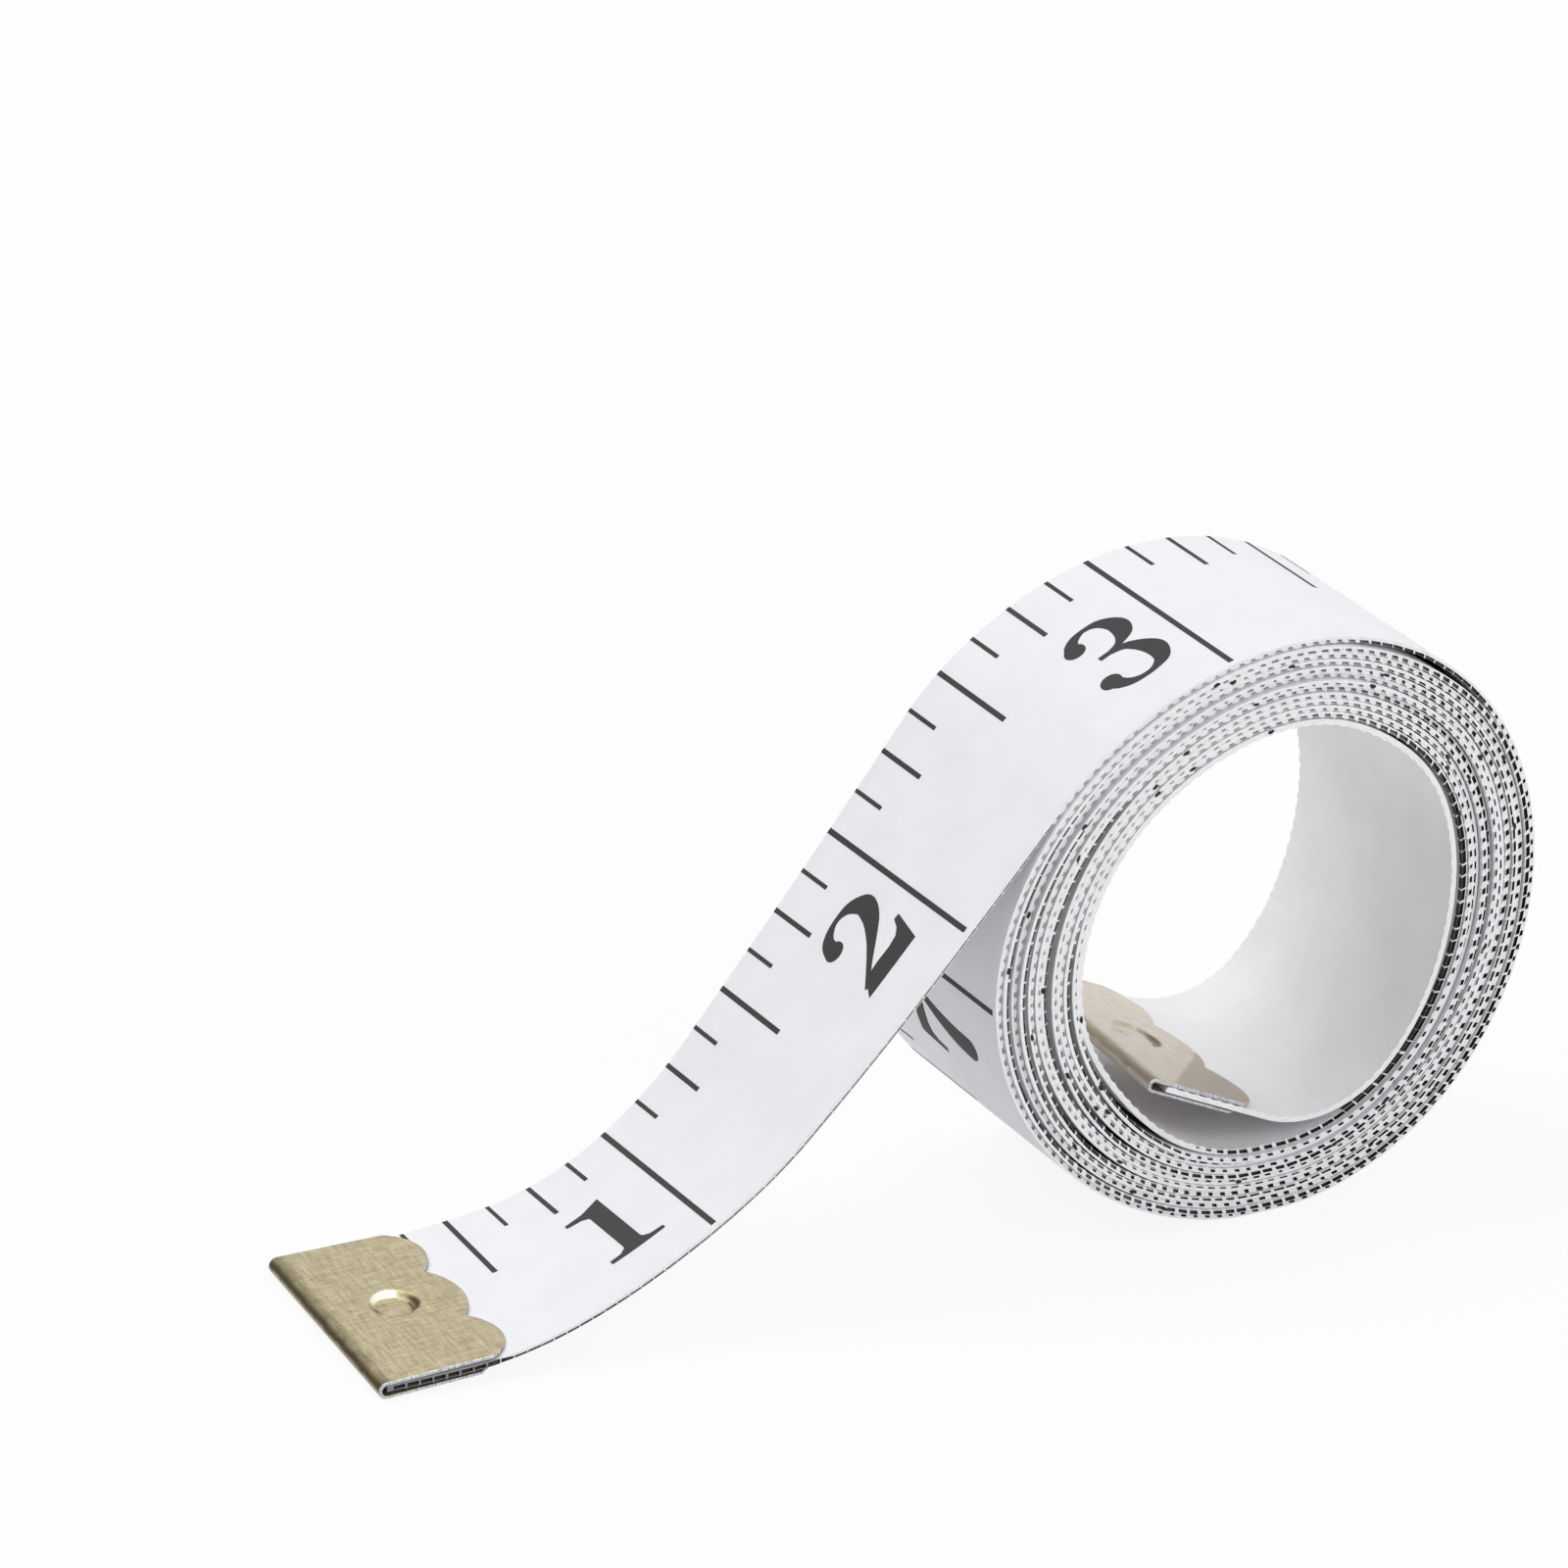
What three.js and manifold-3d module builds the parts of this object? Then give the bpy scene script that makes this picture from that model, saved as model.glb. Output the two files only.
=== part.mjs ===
// Tailor's tape measure: one coated woven tape wound into an open roll, its zero end led down to the
// bench and its other end standing free in the bore, with a folded metal clip crimped on each end.
// Millimetres, +Z up, roll axis along Y, zero end towards -X. The origin is the flat foot of the roll.

import * as THREE from 'three';
import { mergeVertices } from 'three/addons/utils/BufferGeometryUtils.js';
import Module from 'manifold-3d';

const wasm = await Module();
wasm.setup();

const DEG = Math.PI / 180;
const TURN = 2 * Math.PI;
const ROLL_AXIS = new THREE.Vector3(0, 1, 0);

// Tape
const TAPE_WIDTH = 20;
const TAPE_THICKNESS = 0.36;
const SEAM = 0.3; // left open where one stretch of tape hands over to the next

// Roll: the printed face is outside, and the hand-wound turns are a little out of round
const ROLL_RADIUS = 20.75;
const OVAL_SWELL = 0.54;
const OVAL_ANGLE = 39 * DEG;
const LOBE_SWELL = 0.31;
const LOBE_ANGLE = 57 * DEG;
const FULL_TURNS = 6;
const TURN_GAP = 0.49;
const STEPS_PER_TURN = 60;
const FOOT_DEPTH = 0.2; // how far the lowest part of each turn is pressed flat
const LEAVE_ANGLE = 144.4 * DEG; // where the zero end leaves the roll
const LIFT_ANGLE = -62 * DEG; // where the inner end lifts off the innermost turn

// Zero end: straight run, bend and flat stretch, with a slight sideways turn and sideways tilt
const BEND_RADIUS = 28;
const TAIL_FLAT = 8.1;
const TAIL_YAW = 3.7 * DEG;
const TAIL_TILT = 3 * DEG;
const TAIL_STEP = 2.5;

// Inner end
const CURL_RADIUS = 7;
const CURL_STEP = 0.8;
const INNER_STANDOFF = 1.9; // from the heel of the inner clip to the turn below it

// Clips: one folded sheet each, lobed on one side and plain with cut corners on the other
const CLIP_SHEET = 0.3;
const CLIP_CLEARANCE = 0.1;
const CLIP_OVERHANG = 0.2;
const LOBED_LENGTH = 10.15;
const PLAIN_LENGTH = 9;
const LOBE_COUNT = 3;
const NOTCH_DEPTH = 1;
const CORNER_CUT = 1.2;
const DIMPLE_FROM_FOLD = 5.3;
const DIMPLE_LENGTH = 2.6;
const DIMPLE_WIDTH = 2;
const DIMPLE_CORNER = 0.7;
const DIMPLE_DEPTH = 0.15;
const TIP_RUN = 4.6; // tape from the front clip's lobes to the place where the tip flexes
const CURL_RUN = 0.3; // tape from the inner clip's lobes to the end of the curl

// Values that follow from the driving dimensions
const PITCH = TAPE_THICKNESS + TURN_GAP;
const LIFT_TRAVEL = FULL_TURNS * TURN + LEAVE_ANGLE - LIFT_ANGLE;
const AXIS_HEIGHT = roundRadius(LEAVE_ANGLE + TURN / 4) - FOOT_DEPTH;
const CLIP_WIDTH = TAPE_WIDTH + 2 * CLIP_OVERHANG;
const TAPE_RISE = Math.max(0, LOBED_LENGTH - TAIL_FLAT) ** 2 / (2 * BEND_RADIUS);
const CLIP_HEIGHT = TAPE_THICKNESS + 2 * (CLIP_SHEET + CLIP_CLEARANCE) + TAPE_RISE;
const FOLD_RADIUS = CLIP_HEIGHT / 2;
const FLAT_FACE_HEIGHT = CLIP_SHEET + CLIP_CLEARANCE + TAPE_THICKNESS;

const TAPE_FINISH = { color: 0xf2f3f6, roughness: 0.5, metalness: 0 };
const CLIP_FINISH = { color: 0xd4c8a0, roughness: 0.35, metalness: 0.85 };

// Radius of the printed face after a given travel, in radians, from where the tape leaves the roll
function roundRadius(travel) {
  const angle = LEAVE_ANGLE - travel;
  const oval = OVAL_SWELL * Math.cos(2 * (angle - OVAL_ANGLE));
  const lobes = LOBE_SWELL * Math.cos(3 * (angle - LOBE_ANGLE));
  return ROLL_RADIUS + oval + lobes - PITCH * travel / TURN;
}

function windRadius(travel) {
  const down = -Math.sin(LEAVE_ANGLE - travel);
  const round = roundRadius(travel);
  if (down < 0.5) return round;
  const flatHeight = AXIS_HEIGHT - PITCH * Math.floor(travel / TURN);
  return Math.min(round, flatHeight / down);
}

function windPoint(travel) {
  const angle = LEAVE_ANGLE - travel;
  const radius = windRadius(travel);
  return new THREE.Vector3(radius * Math.cos(angle), 0, AXIS_HEIGHT + radius * Math.sin(angle));
}

// Direction of the tape towards its zero end
function windHeading(travel) {
  const step = 0.001;
  return windPoint(travel - step).sub(windPoint(travel + step)).normalize();
}

// One place along the tape: the middle of the printed face, the direction across and the face's normal
function station(face, heading, across) {
  const normal = new THREE.Vector3().crossVectors(across, heading).normalize();
  return { face, across, normal };
}

function windStations() {
  const outerEnd = SEAM / 2 / windRadius(0);
  const innerEnd = LIFT_TRAVEL - SEAM / 2 / windRadius(LIFT_TRAVEL);
  const stepAngle = TURN / STEPS_PER_TURN;
  const footTravel = LEAVE_ANGLE + TURN / 4;
  const offset = footTravel - Math.floor(footTravel / stepAngle) * stepAngle;
  const travels = [innerEnd];
  for (let i = Math.floor((innerEnd - offset) / stepAngle); offset + i * stepAngle > outerEnd; i -= 1) {
    const travel = offset + i * stepAngle;
    const clear = Math.min(innerEnd - travel, travel - outerEnd);
    if (clear > stepAngle / 4) travels.push(travel);
  }
  travels.push(outerEnd);
  return travels.map((travel) => station(windPoint(travel), windHeading(travel), ROLL_AXIS));
}

// Follows a direction that changes along the way, in short straight steps
function walk(start, headingAt, distance) {
  const steps = 96;
  const point = start.clone();
  for (let i = 0; i < steps; i += 1) {
    point.addScaledVector(headingAt((i + 0.5) * distance / steps), distance / steps);
  }
  return point;
}

function evenSteps(from, to, step) {
  const count = Math.max(1, Math.ceil((to - from) / step));
  return Array.from({ length: count + 1 }, (_, i) => from + (to - from) * i / count);
}

// Zero end, by distance from where it leaves the roll
const leavePoint = windPoint(0);
const leaveSlope = Math.asin(-windHeading(0).z);
const bendDrop = BEND_RADIUS * (1 - Math.cos(leaveSlope));
const bendStart = (leavePoint.z - FLAT_FACE_HEIGHT - bendDrop) / Math.sin(leaveSlope);
const bendEnd = bendStart + BEND_RADIUS * leaveSlope;
const foldAt = bendEnd + TAIL_FLAT;
const tongueEnd = foldAt - FOLD_RADIUS;
const tipSeam = foldAt - LOBED_LENGTH - TIP_RUN;

function tailSlope(distance) {
  const bent = THREE.MathUtils.clamp((distance - bendStart) / BEND_RADIUS, 0, leaveSlope);
  return leaveSlope - bent;
}

function tailYaw(distance) {
  return TAIL_YAW * Math.min(1, distance / bendEnd);
}

function tailHeading(distance) {
  const slope = tailSlope(distance);
  const yaw = tailYaw(distance);
  const level = Math.cos(slope);
  return new THREE.Vector3(-level * Math.cos(yaw), level * Math.sin(yaw), -Math.sin(slope));
}

function tailAcross(distance) {
  const yaw = tailYaw(distance);
  const tilt = TAIL_TILT * Math.sin(Math.PI * Math.min(1, distance / bendEnd));
  const level = Math.cos(tilt);
  return new THREE.Vector3(level * Math.sin(yaw), level * Math.cos(yaw), -Math.sin(tilt));
}

function tailPoint(distance) {
  return walk(leavePoint, tailHeading, distance);
}

function tailStations(from, to) {
  return evenSteps(from, to, TAIL_STEP).map(
    (distance) => station(tailPoint(distance), tailHeading(distance), tailAcross(distance)),
  );
}

// Inner end, by distance from where it lifts off the innermost turn
const liftPoint = windPoint(LIFT_TRAVEL);
const liftSlope = Math.asin(windHeading(LIFT_TRAVEL).z);
const innerStraight = LOBED_LENGTH + CURL_RUN;

function innerHeading(rise) {
  return (distance) => {
    const slope = Math.min(rise, distance / CURL_RADIUS - liftSlope);
    return new THREE.Vector3(-Math.cos(slope), 0, Math.sin(slope));
  };
}

function innerLength(rise) {
  return CURL_RADIUS * (rise + liftSlope) + innerStraight;
}

// Distance from the heel of the inner clip to the turn below it, for a given rise of the straight
function heelStandoff(rise) {
  const heel = walk(liftPoint, innerHeading(rise), innerLength(rise));
  const down = new THREE.Vector3(-Math.sin(rise), 0, -Math.cos(rise));
  heel.addScaledVector(down, CLIP_SHEET + CLIP_CLEARANCE);
  const angle = Math.atan2(heel.z - AXIS_HEIGHT, heel.x);
  const travel = LEAVE_ANGLE - angle + (FULL_TURNS - 1) * TURN;
  return windRadius(travel) - TAPE_THICKNESS - Math.hypot(heel.x, heel.z - AXIS_HEIGHT);
}

function solveRise() {
  let low = 0;
  let high = 70 * DEG;
  for (let i = 0; i < 40; i += 1) {
    const middle = (low + high) / 2;
    if (heelStandoff(middle) < INNER_STANDOFF) low = middle;
    else high = middle;
  }
  return high;
}

const innerRise = solveRise();

function innerPoint(distance) {
  return walk(liftPoint, innerHeading(innerRise), distance);
}

function innerStations() {
  const heading = innerHeading(innerRise);
  const distances = evenSteps(SEAM / 2, innerLength(innerRise) - FOLD_RADIUS, CURL_STEP).reverse();
  return distances.map(
    (distance) => station(innerPoint(distance), heading(distance).negate(), ROLL_AXIS),
  );
}

// Closed strip through a row of stations, square at both ends
function ribbon(stations) {
  const positions = [];
  for (const { face, across, normal } of stations) {
    const back = face.clone().addScaledVector(normal, -TAPE_THICKNESS);
    for (const [middle, side] of [[face, 1], [face, -1], [back, -1], [back, 1]]) {
      positions.push(...middle.clone().addScaledVector(across, side * TAPE_WIDTH / 2).toArray());
    }
  }
  const index = [];
  for (let i = 0; i + 1 < stations.length; i += 1) {
    for (let k = 0; k < 4; k += 1) {
      const a = 4 * i + k;
      const b = 4 * i + (k + 1) % 4;
      index.push(a, a + 4, b, b, a + 4, b + 4);
    }
  }
  const last = 4 * (stations.length - 1);
  index.push(0, 1, 2, 0, 2, 3);
  index.push(last, last + 2, last + 1, last, last + 3, last + 2);
  const geometry = new THREE.BufferGeometry();
  geometry.setAttribute('position', new THREE.Float32BufferAttribute(positions, 3));
  geometry.setIndex(index);
  geometry.computeVertexNormals();
  return geometry;
}

// Least distance between the back of any turn and the printed face of another
function leastGap(stations) {
  let least = Infinity;
  for (let i = 0; i < stations.length; i += 1) {
    for (let j = i + STEPS_PER_TURN / 2; j < stations.length; j += 1) {
      const back = stations[j].face.clone().addScaledVector(stations[j].normal, -TAPE_THICKNESS);
      least = Math.min(least, back.distanceTo(stations[i].face));
    }
  }
  return least;
}

function toSolid(geometry) {
  const bare = geometry.clone();
  bare.deleteAttribute('normal');
  bare.deleteAttribute('uv');
  const merged = mergeVertices(bare, 1e-4);
  const vertProperties = new Float32Array(merged.attributes.position.array);
  const triVerts = new Uint32Array(merged.index.array);
  return new wasm.Manifold(new wasm.Mesh({ numProp: 3, vertProperties, triVerts }));
}

function toGeometry(solid) {
  const mesh = solid.getMesh();
  const geometry = new THREE.BufferGeometry();
  geometry.setAttribute('position', new THREE.BufferAttribute(mesh.vertProperties, 3));
  geometry.setIndex(new THREE.BufferAttribute(mesh.triVerts, 1));
  geometry.computeVertexNormals();
  return geometry;
}

function extrude(shape, depth) {
  return new THREE.ExtrudeGeometry(shape, { depth, bevelEnabled: false, curveSegments: 10 });
}

// Clip in its own place: fold at x = 0, lobes towards +X, plain sheet on z = 0
function foldedSheet() {
  const profile = new THREE.Shape();
  profile.moveTo(PLAIN_LENGTH, 0);
  profile.lineTo(PLAIN_LENGTH, CLIP_SHEET);
  profile.lineTo(FOLD_RADIUS, CLIP_SHEET);
  profile.absarc(FOLD_RADIUS, FOLD_RADIUS, FOLD_RADIUS - CLIP_SHEET, -TURN / 4, TURN / 4, true);
  profile.lineTo(LOBED_LENGTH, CLIP_HEIGHT - CLIP_SHEET);
  profile.lineTo(LOBED_LENGTH, CLIP_HEIGHT);
  profile.lineTo(FOLD_RADIUS, CLIP_HEIGHT);
  profile.absarc(FOLD_RADIUS, FOLD_RADIUS, FOLD_RADIUS, TURN / 4, -TURN / 4, false);
  const geometry = extrude(profile, CLIP_WIDTH);
  geometry.rotateX(TURN / 4);
  geometry.translate(0, CLIP_WIDTH / 2, 0);
  return geometry;
}

// Slab with an outline in the clip's plane, from one height to another
function slab(outline, bottom, top) {
  const geometry = extrude(outline, top - bottom);
  geometry.translate(0, 0, bottom);
  return geometry;
}

// What is cut away beyond the row of lobes
function lobeCutter() {
  const half = CLIP_WIDTH / 2;
  const spacing = CLIP_WIDTH / LOBE_COUNT;
  const radius = (spacing ** 2 / 4 + NOTCH_DEPTH ** 2) / (2 * NOTCH_DEPTH);
  const reach = Math.asin(spacing / 2 / radius);
  const outline = new THREE.Shape();
  outline.moveTo(LOBED_LENGTH + 1, -half - 1);
  outline.lineTo(LOBED_LENGTH + 1, half + 1);
  outline.lineTo(LOBED_LENGTH - NOTCH_DEPTH, half + 1);
  for (let i = 0; i < LOBE_COUNT; i += 1) {
    outline.absarc(LOBED_LENGTH - radius, half - (i + 0.5) * spacing, radius, reach, -reach, true);
  }
  outline.lineTo(LOBED_LENGTH - NOTCH_DEPTH, -half - 1);
  return slab(outline, CLIP_HEIGHT - CLIP_SHEET - CLIP_CLEARANCE, CLIP_HEIGHT + 1);
}

function cornerCutter(side) {
  const edge = side * (CLIP_WIDTH / 2 + 1);
  const outline = new THREE.Shape();
  outline.moveTo(PLAIN_LENGTH + 1, edge);
  outline.lineTo(PLAIN_LENGTH + 1, edge - side * (CORNER_CUT + 2));
  outline.lineTo(PLAIN_LENGTH - CORNER_CUT - 1, edge);
  return slab(outline, -1, CLIP_SHEET + CLIP_CLEARANCE);
}

function dimpleCutter() {
  const length = DIMPLE_LENGTH / 2 - DIMPLE_CORNER;
  const width = DIMPLE_WIDTH / 2 - DIMPLE_CORNER;
  const outline = new THREE.Shape();
  for (let i = 0; i < 4; i += 1) {
    const x = DIMPLE_FROM_FOLD + (i === 0 || i === 3 ? length : -length);
    const y = i < 2 ? width : -width;
    outline.absarc(x, y, DIMPLE_CORNER, i * TURN / 4, (i + 1) * TURN / 4, false);
  }
  return slab(outline, CLIP_HEIGHT - DIMPLE_DEPTH, CLIP_HEIGHT + 1);
}

function clipGeometry() {
  let solid = toSolid(foldedSheet());
  for (const cutter of [lobeCutter(), cornerCutter(1), cornerCutter(-1), dimpleCutter()]) {
    solid = solid.subtract(toSolid(cutter));
  }
  return toGeometry(solid);
}

// Places a clip by its fold: where it is, the way to its lobes and the way its lobed sheet faces
function placeClip(mesh, fold, toLobes, up) {
  const across = new THREE.Vector3().crossVectors(up, toLobes).normalize();
  const facing = new THREE.Vector3().crossVectors(toLobes, across);
  mesh.quaternion.setFromRotationMatrix(new THREE.Matrix4().makeBasis(toLobes, across, facing));
  mesh.position.copy(fold);
  return mesh;
}

function namedMesh(name, geometry, finish) {
  const mesh = new THREE.Mesh(geometry, new THREE.MeshStandardMaterial(finish));
  mesh.name = name;
  return mesh;
}

function frontClip() {
  const mesh = namedMesh('front_clip', clipGeometry(), CLIP_FINISH);
  const fold = tailPoint(foldAt).setZ(0);
  const toLobes = tailHeading(foldAt).setZ(0).normalize().negate();
  return placeClip(mesh, fold, toLobes, new THREE.Vector3(0, 0, 1));
}

function innerClip() {
  const mesh = namedMesh('inner_clip', clipGeometry(), CLIP_FINISH);
  const up = new THREE.Vector3(Math.sin(innerRise), 0, Math.cos(innerRise));
  const fold = innerPoint(innerLength(innerRise)).addScaledVector(up, -CLIP_SHEET - CLIP_CLEARANCE);
  return placeClip(mesh, fold, new THREE.Vector3(Math.cos(innerRise), 0, -Math.sin(innerRise)), up);
}

const winding = windStations();
const tapeMeasure = new THREE.Group();
tapeMeasure.add(
  namedMesh('tape_winding', ribbon(winding), TAPE_FINISH),
  namedMesh('tail_upper', ribbon(tailStations(SEAM / 2, bendStart - SEAM / 2)), TAPE_FINISH),
  namedMesh('tail_lower', ribbon(tailStations(bendStart + SEAM / 2, tipSeam - SEAM / 2)), TAPE_FINISH),
  namedMesh('tail_end', ribbon(tailStations(tipSeam + SEAM / 2, tongueEnd)), TAPE_FINISH),
  frontClip(),
  namedMesh('inner_end', ribbon(innerStations()), TAPE_FINISH),
  innerClip(),
);

// Places where the tape flexes, on the middle of its thickness
function flexPlace(name, { face, across, normal }) {
  const pivot = face.clone().addScaledVector(normal, -TAPE_THICKNESS / 2);
  const words = (vector) => vector.toArray().map((value) => value.toFixed(4)).join(', ');
  return `${name}: pivot ${words(pivot)} mm, axis ${words(across)}`;
}

console.log(`tape_winding: least gap to itself ${leastGap(winding).toFixed(3)} mm`);
console.log(flexPlace('tail_swing', tailStations(0, bendStart)[0]));
console.log(flexPlace('tail_bend', tailStations(bendStart, tipSeam)[0]));
console.log(flexPlace('tip_lift', tailStations(tipSeam, foldAt)[0]));
console.log(flexPlace('inner_flex', station(liftPoint, windHeading(LIFT_TRAVEL), ROLL_AXIS)));

export default tapeMeasure;
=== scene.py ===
"""Dresses a tailor's tape measure: coated woven tape with its printing, pressed end clips and a studio.

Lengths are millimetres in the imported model's frame until a mesh is made, and metres from there on.
"""

from __future__ import annotations

import logging
import math
from collections import Counter
from dataclasses import dataclass
from enum import IntEnum, StrEnum
from itertools import pairwise
from typing import Iterable, Sequence

import bmesh
import bpy
import numpy as np
from mathutils import Matrix, Vector
from mathutils.geometry import delaunay_2d_cdt


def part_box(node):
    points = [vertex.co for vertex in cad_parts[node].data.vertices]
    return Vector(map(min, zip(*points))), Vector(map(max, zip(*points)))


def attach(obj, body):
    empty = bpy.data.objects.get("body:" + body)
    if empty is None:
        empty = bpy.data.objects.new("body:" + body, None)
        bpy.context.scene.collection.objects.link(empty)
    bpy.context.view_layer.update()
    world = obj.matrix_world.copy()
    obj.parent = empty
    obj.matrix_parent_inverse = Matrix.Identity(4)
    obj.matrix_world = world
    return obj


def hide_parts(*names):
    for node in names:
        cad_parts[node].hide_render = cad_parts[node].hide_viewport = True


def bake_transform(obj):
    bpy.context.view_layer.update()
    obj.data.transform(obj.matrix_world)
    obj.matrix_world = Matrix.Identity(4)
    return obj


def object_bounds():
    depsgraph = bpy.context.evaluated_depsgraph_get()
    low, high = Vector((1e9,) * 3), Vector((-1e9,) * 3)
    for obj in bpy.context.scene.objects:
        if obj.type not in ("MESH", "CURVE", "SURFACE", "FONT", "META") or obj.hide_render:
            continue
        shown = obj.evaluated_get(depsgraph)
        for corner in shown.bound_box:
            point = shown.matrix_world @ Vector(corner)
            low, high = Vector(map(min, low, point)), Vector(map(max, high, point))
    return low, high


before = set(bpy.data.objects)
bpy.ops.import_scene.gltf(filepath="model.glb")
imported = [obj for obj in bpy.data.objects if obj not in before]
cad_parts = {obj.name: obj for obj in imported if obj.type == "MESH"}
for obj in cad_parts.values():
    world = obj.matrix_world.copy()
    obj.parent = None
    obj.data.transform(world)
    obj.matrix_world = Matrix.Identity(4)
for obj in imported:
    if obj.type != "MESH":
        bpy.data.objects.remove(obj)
CAD_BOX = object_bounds()

MM = 0.001
INCH = 25.4
TURN = 2.0 * math.pi
SHARP_ANGLE = math.radians(35.0)

Array = np.ndarray
Colour = tuple[float, float, float]
Point2 = tuple[float, float]

log = logging.getLogger("tape_measure")


def linear(red: int, green: int, blue: int) -> Colour:
    """Scene-linear colour of an 8-bit screen colour."""
    shares = (value / 255.0 for value in (red, green, blue))
    return tuple(v / 12.92 if v <= 0.04045 else ((v + 0.055) / 1.055) ** 2.4 for v in shares)


def hump(offset: Array, reach: float) -> Array:
    """Smooth hump that is 1 in the middle and fades beyond its reach."""
    return np.exp(-((offset / reach) ** 2))


def wrapped(angle: Array) -> Array:
    """The same angle between minus and plus half a turn."""
    return (angle + math.pi) % TURN - math.pi


def ease(value: Array) -> Array:
    """Smooth step from 0 to 1."""
    share = np.clip(value, 0.0, 1.0)
    return share * share * (3.0 - 2.0 * share)


def unit(directions: Array) -> Array:
    """The same directions with a length of 1."""
    return directions / np.linalg.norm(directions, axis=-1, keepdims=True)


def make_piece(
    name: str,
    points: Array,
    faces: Sequence[Sequence[int]],
    materials: Sequence[bpy.types.Material],
    slots: Sequence[int] | None = None,
) -> bpy.types.Object:
    """Makes a mesh object from points in millimetres.

    Args:
        name: Name of the piece.
        points: Rows of x, y and z.
        faces: Corner numbers of each face, turning outwards.
        materials: Materials in the order of their slots.
        slots: Material slot of each face, or None for the first slot everywhere.

    Returns:
        The new object, linked to the scene.
    """
    mesh = bpy.data.meshes.new(name)
    mesh.from_pydata((np.asarray(points) * MM).tolist(), [], [list(face) for face in faces])
    for material in materials:
        mesh.materials.append(material)
    if slots is not None:
        mesh.polygons.foreach_set("material_index", np.asarray(slots, dtype=np.int32))
    mesh.polygons.foreach_set("use_smooth", np.ones(len(mesh.polygons), dtype=bool))
    mesh.set_sharp_from_angle(angle=SHARP_ANGLE)
    mesh.update()
    piece = bpy.data.objects.new(name, mesh)
    bpy.context.scene.collection.objects.link(piece)
    return piece


def give_points(piece: bpy.types.Object, name: str, values: Array) -> None:
    """Stores one number or one vector for every point of a piece's mesh.

    Args:
        piece: The mesh object.
        name: Name that the materials look the values up by.
        values: One number, or a row of three, for each point.
    """
    kind, key = ("FLOAT", "value") if values.ndim == 1 else ("FLOAT_VECTOR", "vector")
    attribute = piece.data.attributes.new(name, kind, "POINT")
    attribute.data.foreach_set(key, np.ascontiguousarray(values, dtype=np.float32).ravel())


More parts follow.
